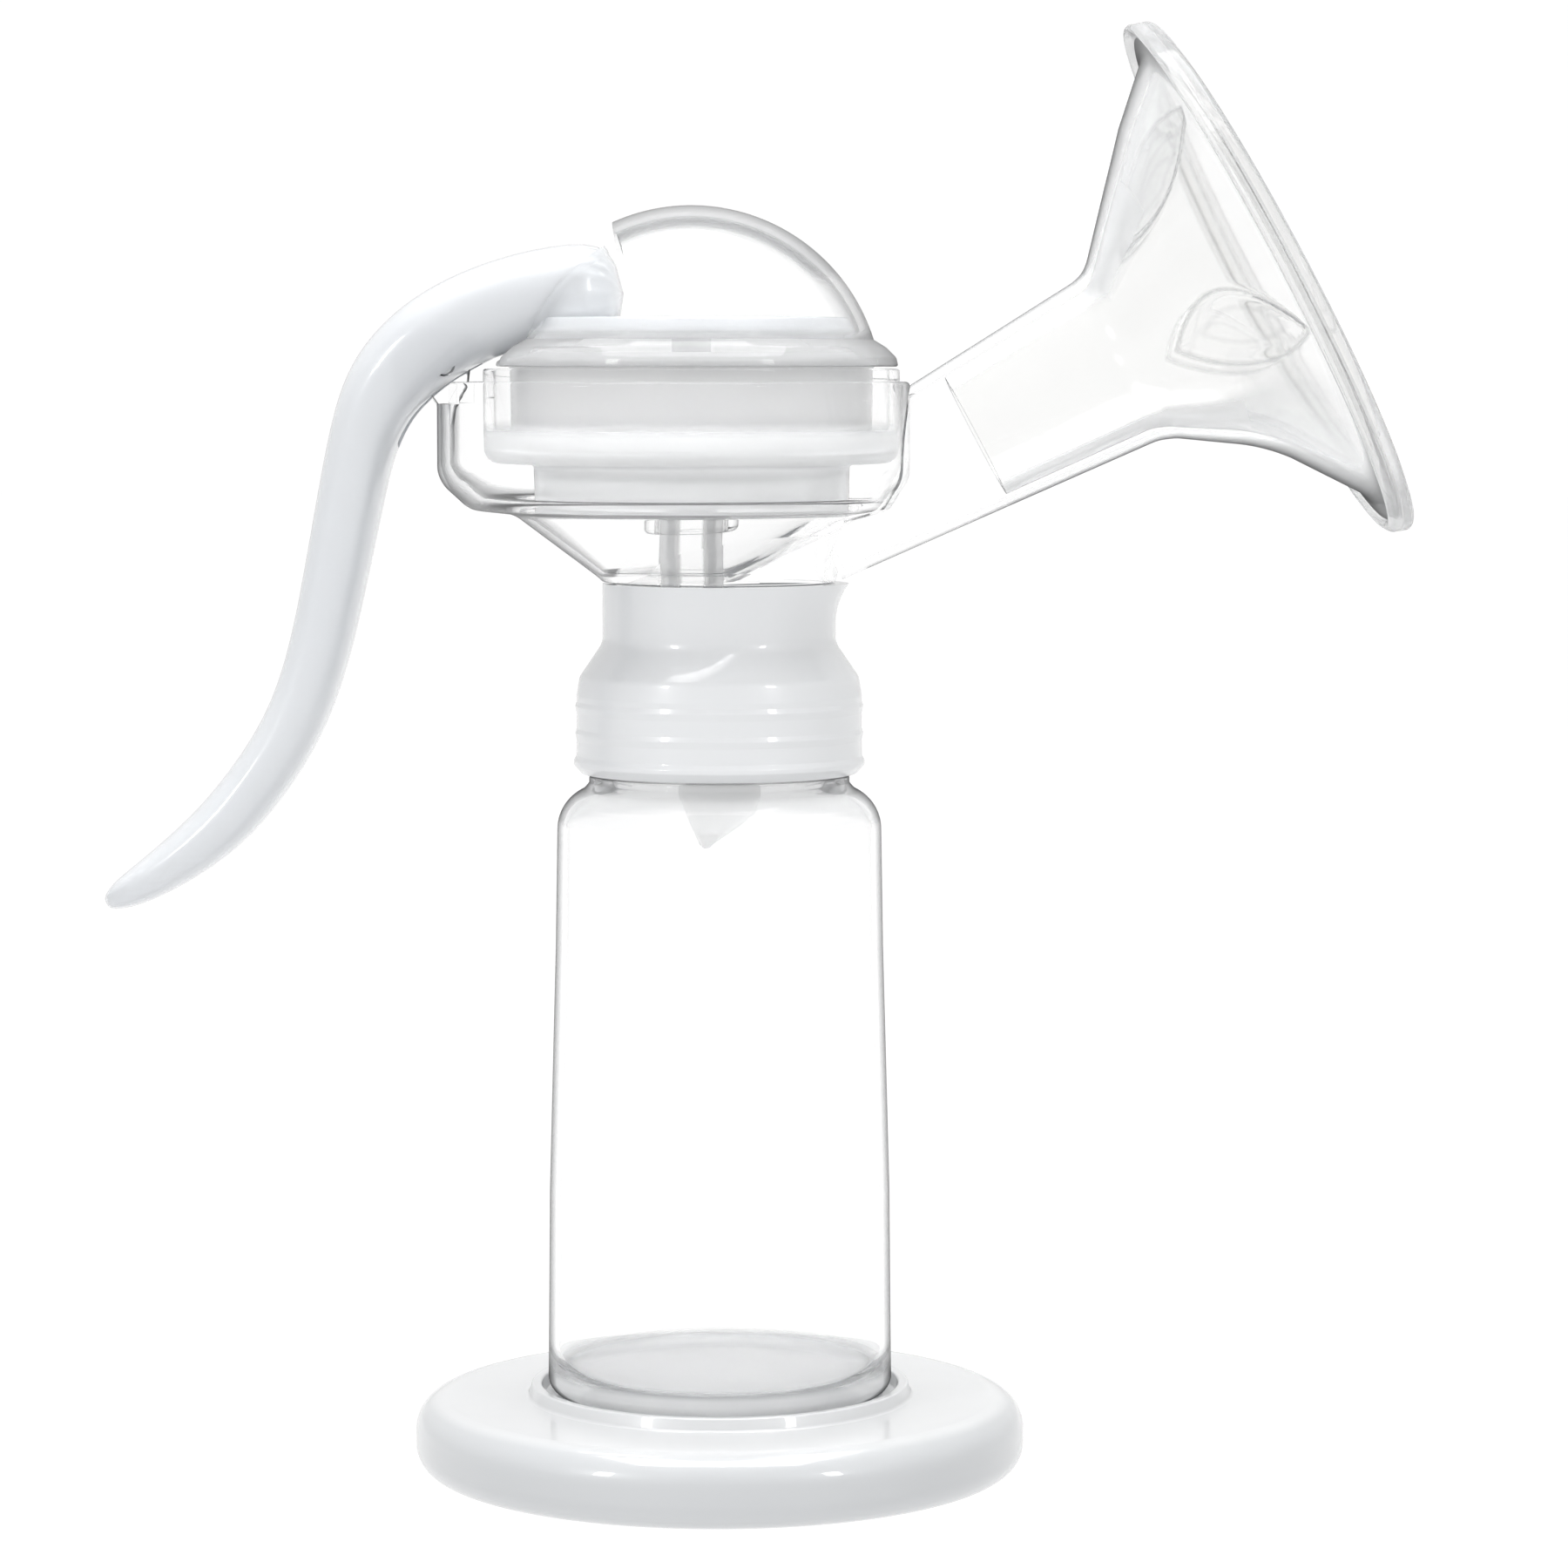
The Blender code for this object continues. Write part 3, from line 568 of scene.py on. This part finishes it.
under_outline = rounded([
    (0.0, 132.2, 0), (9.9, 132.2, 1.2), (25.0, 140.8, 1.5), (30.8, 142.3, 3.0), (34.5, 146.8, 5.0),
    (34.5, 175.0, 0), (0.0, 175.0, 0)], 8, closed=False)
airway_outline = [(0.0, 127.6), (15.4, 127.6), (15.4, 133.6), (20.0, 139.0), (0.0, 139.0)]
airway = made(leaning(turned(airway_outline, 144), [(133.6, 0.0), (139.0, -3.0)]), "airway")
bore_outline = rounded([
    (0.0, 79.0, 0), (8.0, 79.0, 0), (9.9, 104.0, 80.0), (11.6, 129.6, 7.0), (22.4, 142.2, 60.0),
    (35.4, 153.0, 6.0), (37.6, 153.7, 0.3), (37.6, 158.0, 0), (0.0, 158.0, 0)], 8, closed=False)
carve(airway, made(on_horn(turned(bore_outline, 144)), "horn_bore"), "UNION")
carve(airway, made(leaning(turned(under_outline, 144), under_shift), "bowl_underside"))
carve(body, made(leaning(turned(cavity_outline, 144), cavity_shift), "bowl_inside"))
carve(body, airway)
stem_way = turned([(0, 128), (4.9, 128), (4.9, 150), (0, 150)], 48)
carve(body, made(leaning(stem_way, [(128, CHAMBER_X), (150, CHAMBER_X)]), "stem_way"))
carve(body, block((-48.0, -12.8, 157.8), (-36.8, 12.8, 170.0)))
lug_outline = [
    (-40.9, 152.0), (-39.5, 152.0), (-38.8, 157.0), (-36.7, 160.6), (-36.3, 164.0), (-37.8, 166.4),
    (-39.7, 167.1), (-41.6, 166.4), (-43.0, 164.2), (-42.6, 160.0), (-40.9, 157.4)]
carve(body, slab(lug_outline, 3.0, "lug", 0.35), "UNION")
carve(body, pin_bore(1.8, 4.0))
body.data.shade_smooth()
body.data.set_sharp_from_angle(angle=math.radians(32))
body.data.materials.clear()
horn_wall_middle = [
    (HORN_START, 8.7), (104.0, 10.6), (129.6, 12.4), (141.9, 23.2), (152.4, 35.8), (FUNNEL_END, 38.4)]
horn_upright = horn_place.inverted()
outer_face = body.data.attributes.new("outer_face", "FLOAT", "POINT")
for vert, mark in zip(body.data.vertices, outer_face.data):
    local = horn_upright @ (vert.co / MM)
    reach = math.hypot(local.x + flare_shift(local.z), local.y)
    mark.value = float(local.z < HORN_START or reach > value_at(horn_wall_middle, local.z))
hood_faint = [
    [("X", 1.0, 22.0, 1.5), ("Z", 132.0, 142.5, 1.0)],
    [("X", -15.0, 22.0, 1.0), ("Z", 130.6, 134.8, 0.4)]]
# Painted shade: grey bands where the bowl's and horn's walls turn from the eye.
hood_walls = [(0.20, 0.68, "Z", 143.0, 166.0, 0.6), (0.24, 0.50, "X", 32.0, 110.0, 8.0)]
body.data.materials.append(clear_plastic(
    "hood clear polypropylene", 0.70, 0.8, edge=0.34, line=0.08, ior=1.04, coat=0.15, walls=hood_walls,
    faint=hood_faint, outside="outer_face"))
body.visible_shadow = False
fitted(body, "pump", "clear_plastic", "pump_body")


# --- Suction chamber -------------------------------------------------------------------------------
# A stepped cup stands in the hood on the bowl's cone. Its hollow stem passes the floor, sealed by a
# ring, and joins the space under the diaphragm to the neck, so that lifting the middle draws air.

upright = [(0.0, CHAMBER_X), (300.0, CHAMBER_X)]
chamber_outline = rounded([
    (4.6, 129.2, 0.4), (4.6, 141.8, 0.8), (22.9, 141.8, 1.2), (23.1, 149.0, 0.8), (30.3, 149.2, 2.2),
    (30.4, 162.9, 0.4), (28.9, 162.9, 0.4), (28.8, 150.7, 1.8), (21.7, 150.5, 0.8), (21.6, 143.3, 1.0),
    (3.3, 143.3, 0.6), (3.3, 129.2, 0.4)], 6)
chamber_haze = [(0.48, 141.4, 149.0, 0.8), (0.50, 146.8, 155.4, 2.6)]
# Painted shade: a grey band on the stem where its wall turns from the eye.
chamber_walls = [(0.34, 0.10, "Z", 128.0, 141.6, 0.6)]
chamber_finish = clear_plastic("chamber clear polypropylene", 0.82, 1.0, edge=0.8, line=0.45, haze_and_shade=0.80,
                               haze=chamber_haze, walls=chamber_walls, faint=[[("Z", 147.5, 153.5, 0.5)]])
chamber = made(leaning(turned(chamber_outline, 144, closed=True), upright), "chamber_cup", chamber_finish)
fitted(chamber, "pump", "clear_plastic", "suction_chamber")
stem_seal_outline = [(6.9, 138.5, 0.6), (6.9, 141.4, 0.6), (5.0, 141.4, 0.4), (5.0, 138.5, 0.4)]
stem_seal = made(leaning(turned(rounded(stem_seal_outline, 4), 72, closed=True), upright), "stem_seal_ring",
                 clear_plastic("seal silicone", 0.5, 1.0, edge=0.7, line=0.5, gloss=0.12))
fitted(stem_seal, "pump", "silicone", "stem_seal")


# --- Diaphragm and pull rod --------------------------------------------------------------------------
# A deep cup of milky silicone whose flange sits on the chamber's rim. A disc in its floor is snapped
# to the rod; the rod passes the lever's forked plate and ends in a button that the plate pulls up.

diaphragm_outline = rounded([
    (0.0, 146.4, 0), (20.9, 146.4, 1.0), (21.2, 151.2, 0.6), (26.3, 151.2, 1.0), (26.5, 163.2, 0.4),
    (28.6, 163.2, 0.3), (28.4, 163.9, 0.4), (26.6, 165.1, 0.5), (25.0, 165.1, 0.5), (24.4, 164.0, 0.5),
    (24.2, 152.8, 1.4), (17.4, 152.8, 1.2), (16.0, 148.0, 1.0), (0.0, 148.0, 0)], 6, closed=False)
diaphragm_shape = leaning(turned(diaphragm_outline, 144), upright)
for height in (153.8, 155.2, 156.6, 158.0, 159.4, 160.8):
    everything = diaphragm_shape.verts[:] + diaphragm_shape.edges[:] + diaphragm_shape.faces[:]
    bmesh.ops.bisect_plane(diaphragm_shape, geom=everything, plane_co=(0, 0, height), plane_no=(0, 0, 1))
diaphragm_finish = silicone("diaphragm silicone", 0.35, (0.93, 0.935, 0.94), (0.90, 0.905, 0.91))
diaphragm = made(diaphragm_shape, "diaphragm_cup", diaphragm_finish)
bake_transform(diaphragm)
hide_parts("diaphragm")
disc_outline = [
    (3.5, 148.3, 0.2), (9.0, 148.3, 0.3), (9.0, 149.4, 0.4), (6.0, 150.3, 0.6), (3.5, 150.3, 0.2)]
disc = made(leaning(turned(rounded(disc_outline, 3), 72, closed=True), upright), "rod_disc", inner_milky)
fitted(disc, "rod", "milky_plastic", "diaphragm_disc")
rod_outline = rounded([
    (0.0, 169.3, 0), (2.9, 169.3, 0.3), (2.9, 164.4, 0.5), (5.6, 164.0, 0.5), (5.6, 162.6, 0.6),
    (3.2, 161.6, 0.8), (3.2, 148.3, 0.4), (0.0, 148.3, 0)], 4, closed=False)
rod = made(leaning(turned(rod_outline, 72), upright), "pull_rod", inner_milky)
fitted(rod, "rod", "milky_plastic", "diaphragm_stem")
cap_outline = rounded([
    (0.0, 170.5, 0), (2.8, 170.4, 1.0), (4.2, 169.9, 0.5), (4.6, 169.5, 0.2), (4.4, 169.1, 0.2),
    (3.1, 169.1, 0.1), (3.1, 169.6, 0.1), (0.0, 169.6, 0)], 4, closed=False)
cap = made(leaning(turned(cap_outline, 72), upright), "rod_button", inner_milky)
fitted(cap, "rod", "milky_plastic", "stem_cap")


# --- Lever and pin -----------------------------------------------------------------------------------
# The lever is a curved grip of milky polypropylene, thick at its root and thin at its tip. Its root
# spreads into a round plate under the dome, slotted for the rod, and straddles the hood's lug.

PLATE_LOW = 166.9
PLATE_TOP = 170.2
lever_stations = [  # centre x, centre z, half thickness, half width
    (-13.6, 173.8, 7.8, 11.6), (-24.0, 173.3, 7.7, 12.0), (-32.2, 172.0, 6.7, 12.0),
    (-37.9, 169.4, 6.8, 12.0), (-43.4, 166.0, 6.6, 11.8), (-47.9, 161.4, 6.2, 11.2),
    (-50.4, 157.0, 5.5, 10.8), (-52.4, 151.0, 4.9, 10.2), (-54.3, 141.5, 4.8, 9.6),
    (-56.6, 130.0, 4.6, 9.2), (-58.6, 121.0, 4.5, 9.0), (-62.3, 110.0, 4.4, 9.0),
    (-70.1, 99.0, 4.4, 9.0), (-76.4, 93.0, 4.0, 8.8), (-84.5, 87.5, 3.0, 7.6),
    (-88.4, 85.6, 2.1, 5.6), (-90.2, 84.4, 0.9, 2.4)]
LEVER_FACETS = 24
LEVER_SQUARENESS = 0.75
lever_shape = bmesh.new()
bmesh.ops.create_circle(lever_shape, cap_ends=False, radius=1.0, segments=LEVER_FACETS)
ring = list(lever_shape.verts)
turns = [math.atan2(vert.co.y, vert.co.x) for vert in ring]
ring_edges = list(lever_shape.edges)
for i, (x, z, thick, wide) in enumerate(lever_stations):
    if i:
        bmesh.ops.extrude_edge_only(lever_shape, edges=ring_edges)
        ring = lever_shape.verts[:][-LEVER_FACETS:]
        ring_edges = [edge for edge in lever_shape.edges if all(vert in ring for vert in edge.verts)]
    before = lever_stations[max(i - 1, 0)]
    after = lever_stations[min(i + 1, len(lever_stations) - 1)]
    along = Vector((after[0] - before[0], 0, after[1] - before[1])).normalized()
    across = Vector((-along.z, 0, along.x))
    for vert, turn in zip(ring, turns):
        cos = math.cos(turn)
        sin = math.sin(turn)
        side = math.copysign(abs(cos) ** LEVER_SQUARENESS, cos) * wide
        up = math.copysign(abs(sin) ** LEVER_SQUARENESS, sin) * thick
        vert.co = Vector((x, side, z)) + across * up
ends = [edge for edge in lever_shape.edges if edge.is_boundary]
bmesh.ops.holes_fill(lever_shape, edges=ends, sides=0)
lever = made(lever_shape, "squeeze_lever")
soft = lever.modifiers.new("soft", "SUBSURF")
soft.levels = 2
soft.render_levels = 2
plate_outline = rounded([
    (0.0, PLATE_TOP, 0), (23.2, PLATE_TOP, 0.6), (24.3, 168.2, 0.8), (24.5, PLATE_LOW, 0.4),
    (0.0, PLATE_LOW, 0)], 5, closed=False)
carve(lever, made(leaning(turned(plate_outline, 128), upright), "head_plate"), "UNION")
carve(lever, slab([(-12.4, PLATE_TOP), (-15.9, 184.0), (6.0, 184.0), (6.0, PLATE_TOP)], 20.0))
carve(lever, block((-9.4, -3.5, 160.0), (30.0, 3.5, 176.0)))
carve(lever, block((-9.4, -5.3, 168.0), (30.0, 5.3, 176.0)))
carve(lever, block((-47.0, -3.4, 150.0), (-34.4, 3.4, 168.6)))
carve(lever, pin_bore(1.8, 9.0))
lever.data.shade_smooth()
lever.data.set_sharp_from_angle(angle=math.radians(38))
lever.data.materials.clear()
lever_finish = milky_plastic("lever milky polypropylene", 0.30, (0.82, 0.84, 0.86), (0.78, 0.80, 0.83))
lever.data.materials.append(lever_finish)
fitted(lever, "handle", "milky_plastic", "lever")
pin = pin_bore(1.5, 8.6, "hinge_pin", 0.3)
pin.data.materials.append(inner_milky)
fitted(pin, "handle", "milky_plastic", "pivot_pin")


# --- Dome --------------------------------------------------------------------------------------------
# A clear half-round cover clips over the lever's plate and rocks with it. Its skirt flares over the
# diaphragm's flange, and a notch lets the lever's root in on the left.

DOME_RADIUS = 27.9
DOME_WALL = 1.4
dome_middle = Vector((0.0, 158.7))
dome_outline = [dome_middle + Vector((0.0, DOME_RADIUS))]
dome_outline += round_corner(dome_middle, DOME_RADIUS, 88, 20, 34)
dome_outline += rounded([
    (26.6, 167.1, 0), (28.4, 166.0, 2.0), (29.9, 164.5, 1.0), (30.2, 163.2, 0.3), (29.1, 163.2, 0.3),
    (28.9, 164.3, 1.0), (27.4, 165.8, 1.5), (25.1, 167.5, 0)], 5, closed=False)
dome_outline += round_corner(dome_middle, DOME_RADIUS - DOME_WALL, 21, 88, 34)
dome_outline.append(dome_middle + Vector((0.0, DOME_RADIUS - DOME_WALL)))
dome = made(leaning(turned(dome_outline, 144), upright), "dome")
notch = [
    (-12.1, PLATE_TOP), (-15.9, 186.0), (-60.0, 186.0), (-60.0, 150.0), (-28.0, 150.0), (-28.0, 166.0)]
carve(dome, slab(notch, 12.5))
dome.data.shade_smooth()
dome.data.set_sharp_from_angle(angle=math.radians(32))
dome.data.materials.clear()
dome_haze = [(0.36, 150.0, 169.0, 1.5)]
# Painted shade: a grey band round the crown where the wall turns from the eye.
dome_walls = [(0.46, 0.62, "Z", 175.0, 190.0, 3.0), (0.04, 0.62, "Z", 165.0, 180.0, 1.0)]
dome.data.materials.append(clear_plastic(
    "dome clear polypropylene", 0.56, 1.1, edge=0.5, line=0.16, haze_and_shade=0.56, haze=dome_haze, walls=dome_walls))
fitted(dome, "handle", "clear_plastic", "dome_cover")


# --- Massage cushion -----------------------------------------------------------------------------------
# A frosted silicone liner sits in the horn and funnel and folds over the funnel's edge to hold on.
# Five lens-shaped pads are moulded in its face, each with a raised crest and a fine groove round it.

cushion_outline = rounded([
    (9.6, 105.0, 0.4), (11.2, 129.4, 6.5), (22.2, 142.6, 60.0), (35.2, 153.5, 6.0), (37.2, 153.9, 0.6),
    (39.9, 153.9, 0.3), (39.9, 151.9, 0.3), (40.8, 151.3, 0.7), (41.6, 152.1, 0.7), (41.6, 155.0, 1.2),
    (38.8, 155.6, 1.4), (33.6, 153.3, 4.0)], 8, closed=False)
face_start = Vector((33.0, 152.9))
face_end = Vector((12.2, 133.6))
face_steps = 72
face_line = [face_start.lerp(face_end, i / face_steps) for i in range(face_steps + 1)]
for point in face_line:
    share = (point - face_start).length / (face_end - face_start).length
    point += Vector((-0.7071, 0.7071)) * 0.7 * math.sin(math.pi * share)
cushion_outline += face_line
cushion_outline += rounded([(12.0, 133.4, 0), (9.2, 129.4, 6.0), (7.4, 105.0, 0.6)], 8, closed=False)
cushion_shape = turned(cushion_outline, 200, closed=True)
petal_turn = math.radians(-3.0)
petal_step = math.tau / 5
petal_length = 12.4
petal_half_width = 6.1
petal_rise = 1.3
inward = Vector((-0.68, 0.73))
petal_middle = face_start.lerp(face_end, 0.46)
face_slope = (face_start - face_end).normalized()
outline_layer = cushion_shape.verts.layers.float.new("petal_edge")
wall_layer = cushion_shape.verts.layers.float.new("outer_face")
lip_layer = cushion_shape.verts.layers.float.new("lip")
liner_wall_middle = [(105.0, 8.5), (129.4, 10.2), (133.6, 13.4), (142.6, 21.7), (152.9, 33.7)]
for vert in cushion_shape.verts:
    radius = math.hypot(vert.co.x, vert.co.y)
    vert[outline_layer] = -9.0
    outside = radius > value_at(liner_wall_middle, vert.co.z)
    vert[wall_layer] = value_at([(138.0, 1.0), (150.0, 0.45)], vert.co.z) if outside else 0.0
    vert[lip_layer] = float(radius > 39.0)
    point = Vector((radius, vert.co.z)) - petal_middle
    along = point.dot(face_slope)
    if not (-0.1 < point.dot(inward) < 1.2 and 11.0 < radius < 33.6):
        continue
    angle = math.atan2(vert.co.y, vert.co.x)
    aside = ((angle - petal_turn + petal_step / 2) % petal_step - petal_step / 2) * radius
    half_width = petal_half_width * (1 - (along / petal_length) ** 2)
    inside = (half_width - abs(aside)) / math.hypot(1, 2 * petal_half_width * along / petal_length ** 2)
    vert[outline_layer] = inside
    raised = min(1.0, max(0.0, (inside + 0.3) / 1.8))
    height = petal_rise * raised * raised * (3 - 2 * raised)
    vert.co += Vector((math.cos(angle) * inward.x, math.sin(angle) * inward.x, inward.y)) * height


def fine_line(finish, distance, at, half):
    """A soft line where a distance in millimetres passes a value."""
    off = finish.node("ShaderNodeMath", "Value", {"operation": "ABSOLUTE"}, {0: distance - at})
    return finish.node("ShaderNodeMapRange", "Result", {"clamp": True, "interpolation_type": "SMOOTHSTEP"},
                       {"Value": off, "From Min": 0.0, "From Max": half, "To Min": 1.0, "To Max": 0.0})


cushion_silicone = Finish("cushion silicone", Transmission_Weight=1.0, IOR=1.08, Coat_Weight=0.3,
                          Coat_Roughness=0.12)
petal_inside = cushion_silicone.carried("petal_edge")
# Painted shade: a grey line where each pad's groove lies, which is not cut, and a fainter one along its
# crest.
groove = fine_line(cushion_silicone, petal_inside, 0.0, 0.6)
crest = fine_line(cushion_silicone, petal_inside, 3.2, 0.8)
pad = cushion_silicone.node("ShaderNodeMapRange", "Result", {"clamp": True},
                            {"Value": petal_inside, "From Min": 0.0, "From Max": 1.2})
# Painted shade: the outer face greys where it turns from the eye, in its colour and in the grey layer.
wall = cushion_silicone.turned_from(0.38, 0.46) * cushion_silicone.carried("outer_face")
cushion_silicone.drive("Base Color", cushion_silicone.blend(
    wall, (0.985, 0.985, 0.98, 1.0), (0.87, 0.873, 0.876, 1.0)))
cushion_silicone.drive("Roughness", 0.08 + 0.06 * cushion_silicone.clouds(120.0, 3.0))
cushion_silicone.relief(cushion_silicone.clouds(55.0, 1.0), 0.05, 0.0008)
# Painted shade: a dark outline at the silhouette, and the pads darker where seen aslant.
outer_line = cushion_silicone.edge_on(0.84, 1.0) * (0.25 + 0.75 * cushion_silicone.carried("outer_face"))
petal_grey = cushion_silicone.blend(outer_line, (0.50, 0.505, 0.51, 1.0), (0.14, 0.14, 0.14, 1.0))
cushion_silicone.lay_haze_and_shade(
    0.02 + 0.42 * wall + 0.7 * outer_line + 0.45 * groove + 0.16 * crest
    + pad * (0.03 + 0.45 * cushion_silicone.edge_on(0.45, 1.0)) + 0.06 * cushion_silicone.carried("lip"),
    petal_grey)
cushion_finish = cushion_silicone.material
cushion = made(on_horn(cushion_shape), "massage_liner", cushion_finish, sharp=60)
fitted(cushion, "pump", "silicone", "massage_cushion")


# --- Studio ----------------------------------------------------------------------------------------------
# A white sweep under bright soft light: two tall boxes in front at either side, one overhead.

floor_finish = Finish("studio floor", Roughness=0.9, Specular_IOR_Level=0.0, Emission_Strength=1.0)
floor_finish.shader.inputs["Emission Color"].default_value = (1, 1, 1, 1)
floor_finish.drive("Base Color", floor_finish.blend(
    floor_finish.clouds(3.0), (0.05, 0.05, 0.05, 1), (0.06, 0.06, 0.06, 1)))
floor_shape = bmesh.new()
bmesh.ops.create_grid(floor_shape, x_segments=1, y_segments=1, size=6000.0)
bmesh.ops.translate(floor_shape, vec=(0, 0, -0.2), verts=floor_shape.verts)
floor = made(floor_shape, "studio_floor", floor_finish.material)


class Sky(Finish):
    """The world behind the sweep, its nodes made the way a finish's are."""

    def __init__(self, name):
        self.world = bpy.data.worlds.new(name)
        self.world.use_nodes = True
        self.tree = self.world.node_tree
        self.shader = self.tree.nodes["Background"]
        self.shader.inputs["Color"].default_value = (1, 1, 1, 1)

    def ray(self, kind):
        return self.node("ShaderNodeLightPath", kind)


sky = Sky("studio")
seen = sky.ray("Is Camera Ray") + sky.ray("Is Transmission Ray")
shine = 0.7 * sky.ray("Is Glossy Ray")
sky.drive("Strength", sky.node("ShaderNodeMapRange", "Result", {"clamp": True}, {
    "Value": seen.math("MAXIMUM", seen, shine), "To Min": 0.5, "To Max": 1.02}))
scene.world = sky.world


def softbox(name, place, aim, width, height, power):
    light = bpy.data.lights.new(name, "AREA")
    light.shape = "RECTANGLE"
    light.size = width
    light.size_y = height
    light.energy = power
    lamp = bpy.data.objects.new(name, light)
    lamp.location = place
    lamp.rotation_euler = (Vector(aim) - Vector(place)).to_track_quat("-Z", "Y").to_euler()
    scene.collection.objects.link(lamp)
    return lamp


softbox("left box", (-0.75, -0.75, 0.55), (0, 0, 0.12), 0.12, 0.24, 2.7)
softbox("right box", (0.75, -0.75, 0.55), (0, 0, 0.12), 0.12, 0.24, 1.6)
softbox("top box", (0.0, 0.05, 1.0), (0, 0, 0.1), 0.8, 0.8, 13.8)

camera = bpy.data.cameras.new("camera")
camera.sensor_width = 36
camera.lens = 114.4
camera.clip_start = 0.01
viewer = bpy.data.objects.new("camera", camera)
viewer.location = (0.0095, -0.7296, 0.1622)
viewer.rotation_euler = (math.radians(90 - 4.71), 0, 0)
scene.collection.objects.link(viewer)
scene.camera = viewer

scene.view_settings.view_transform = "Standard"
scene.view_settings.look = "None"
scene.cycles.max_bounces = 32
scene.cycles.transmission_bounces = 28
scene.cycles.glossy_bounces = 8
scene.cycles.transparent_max_bounces = 16
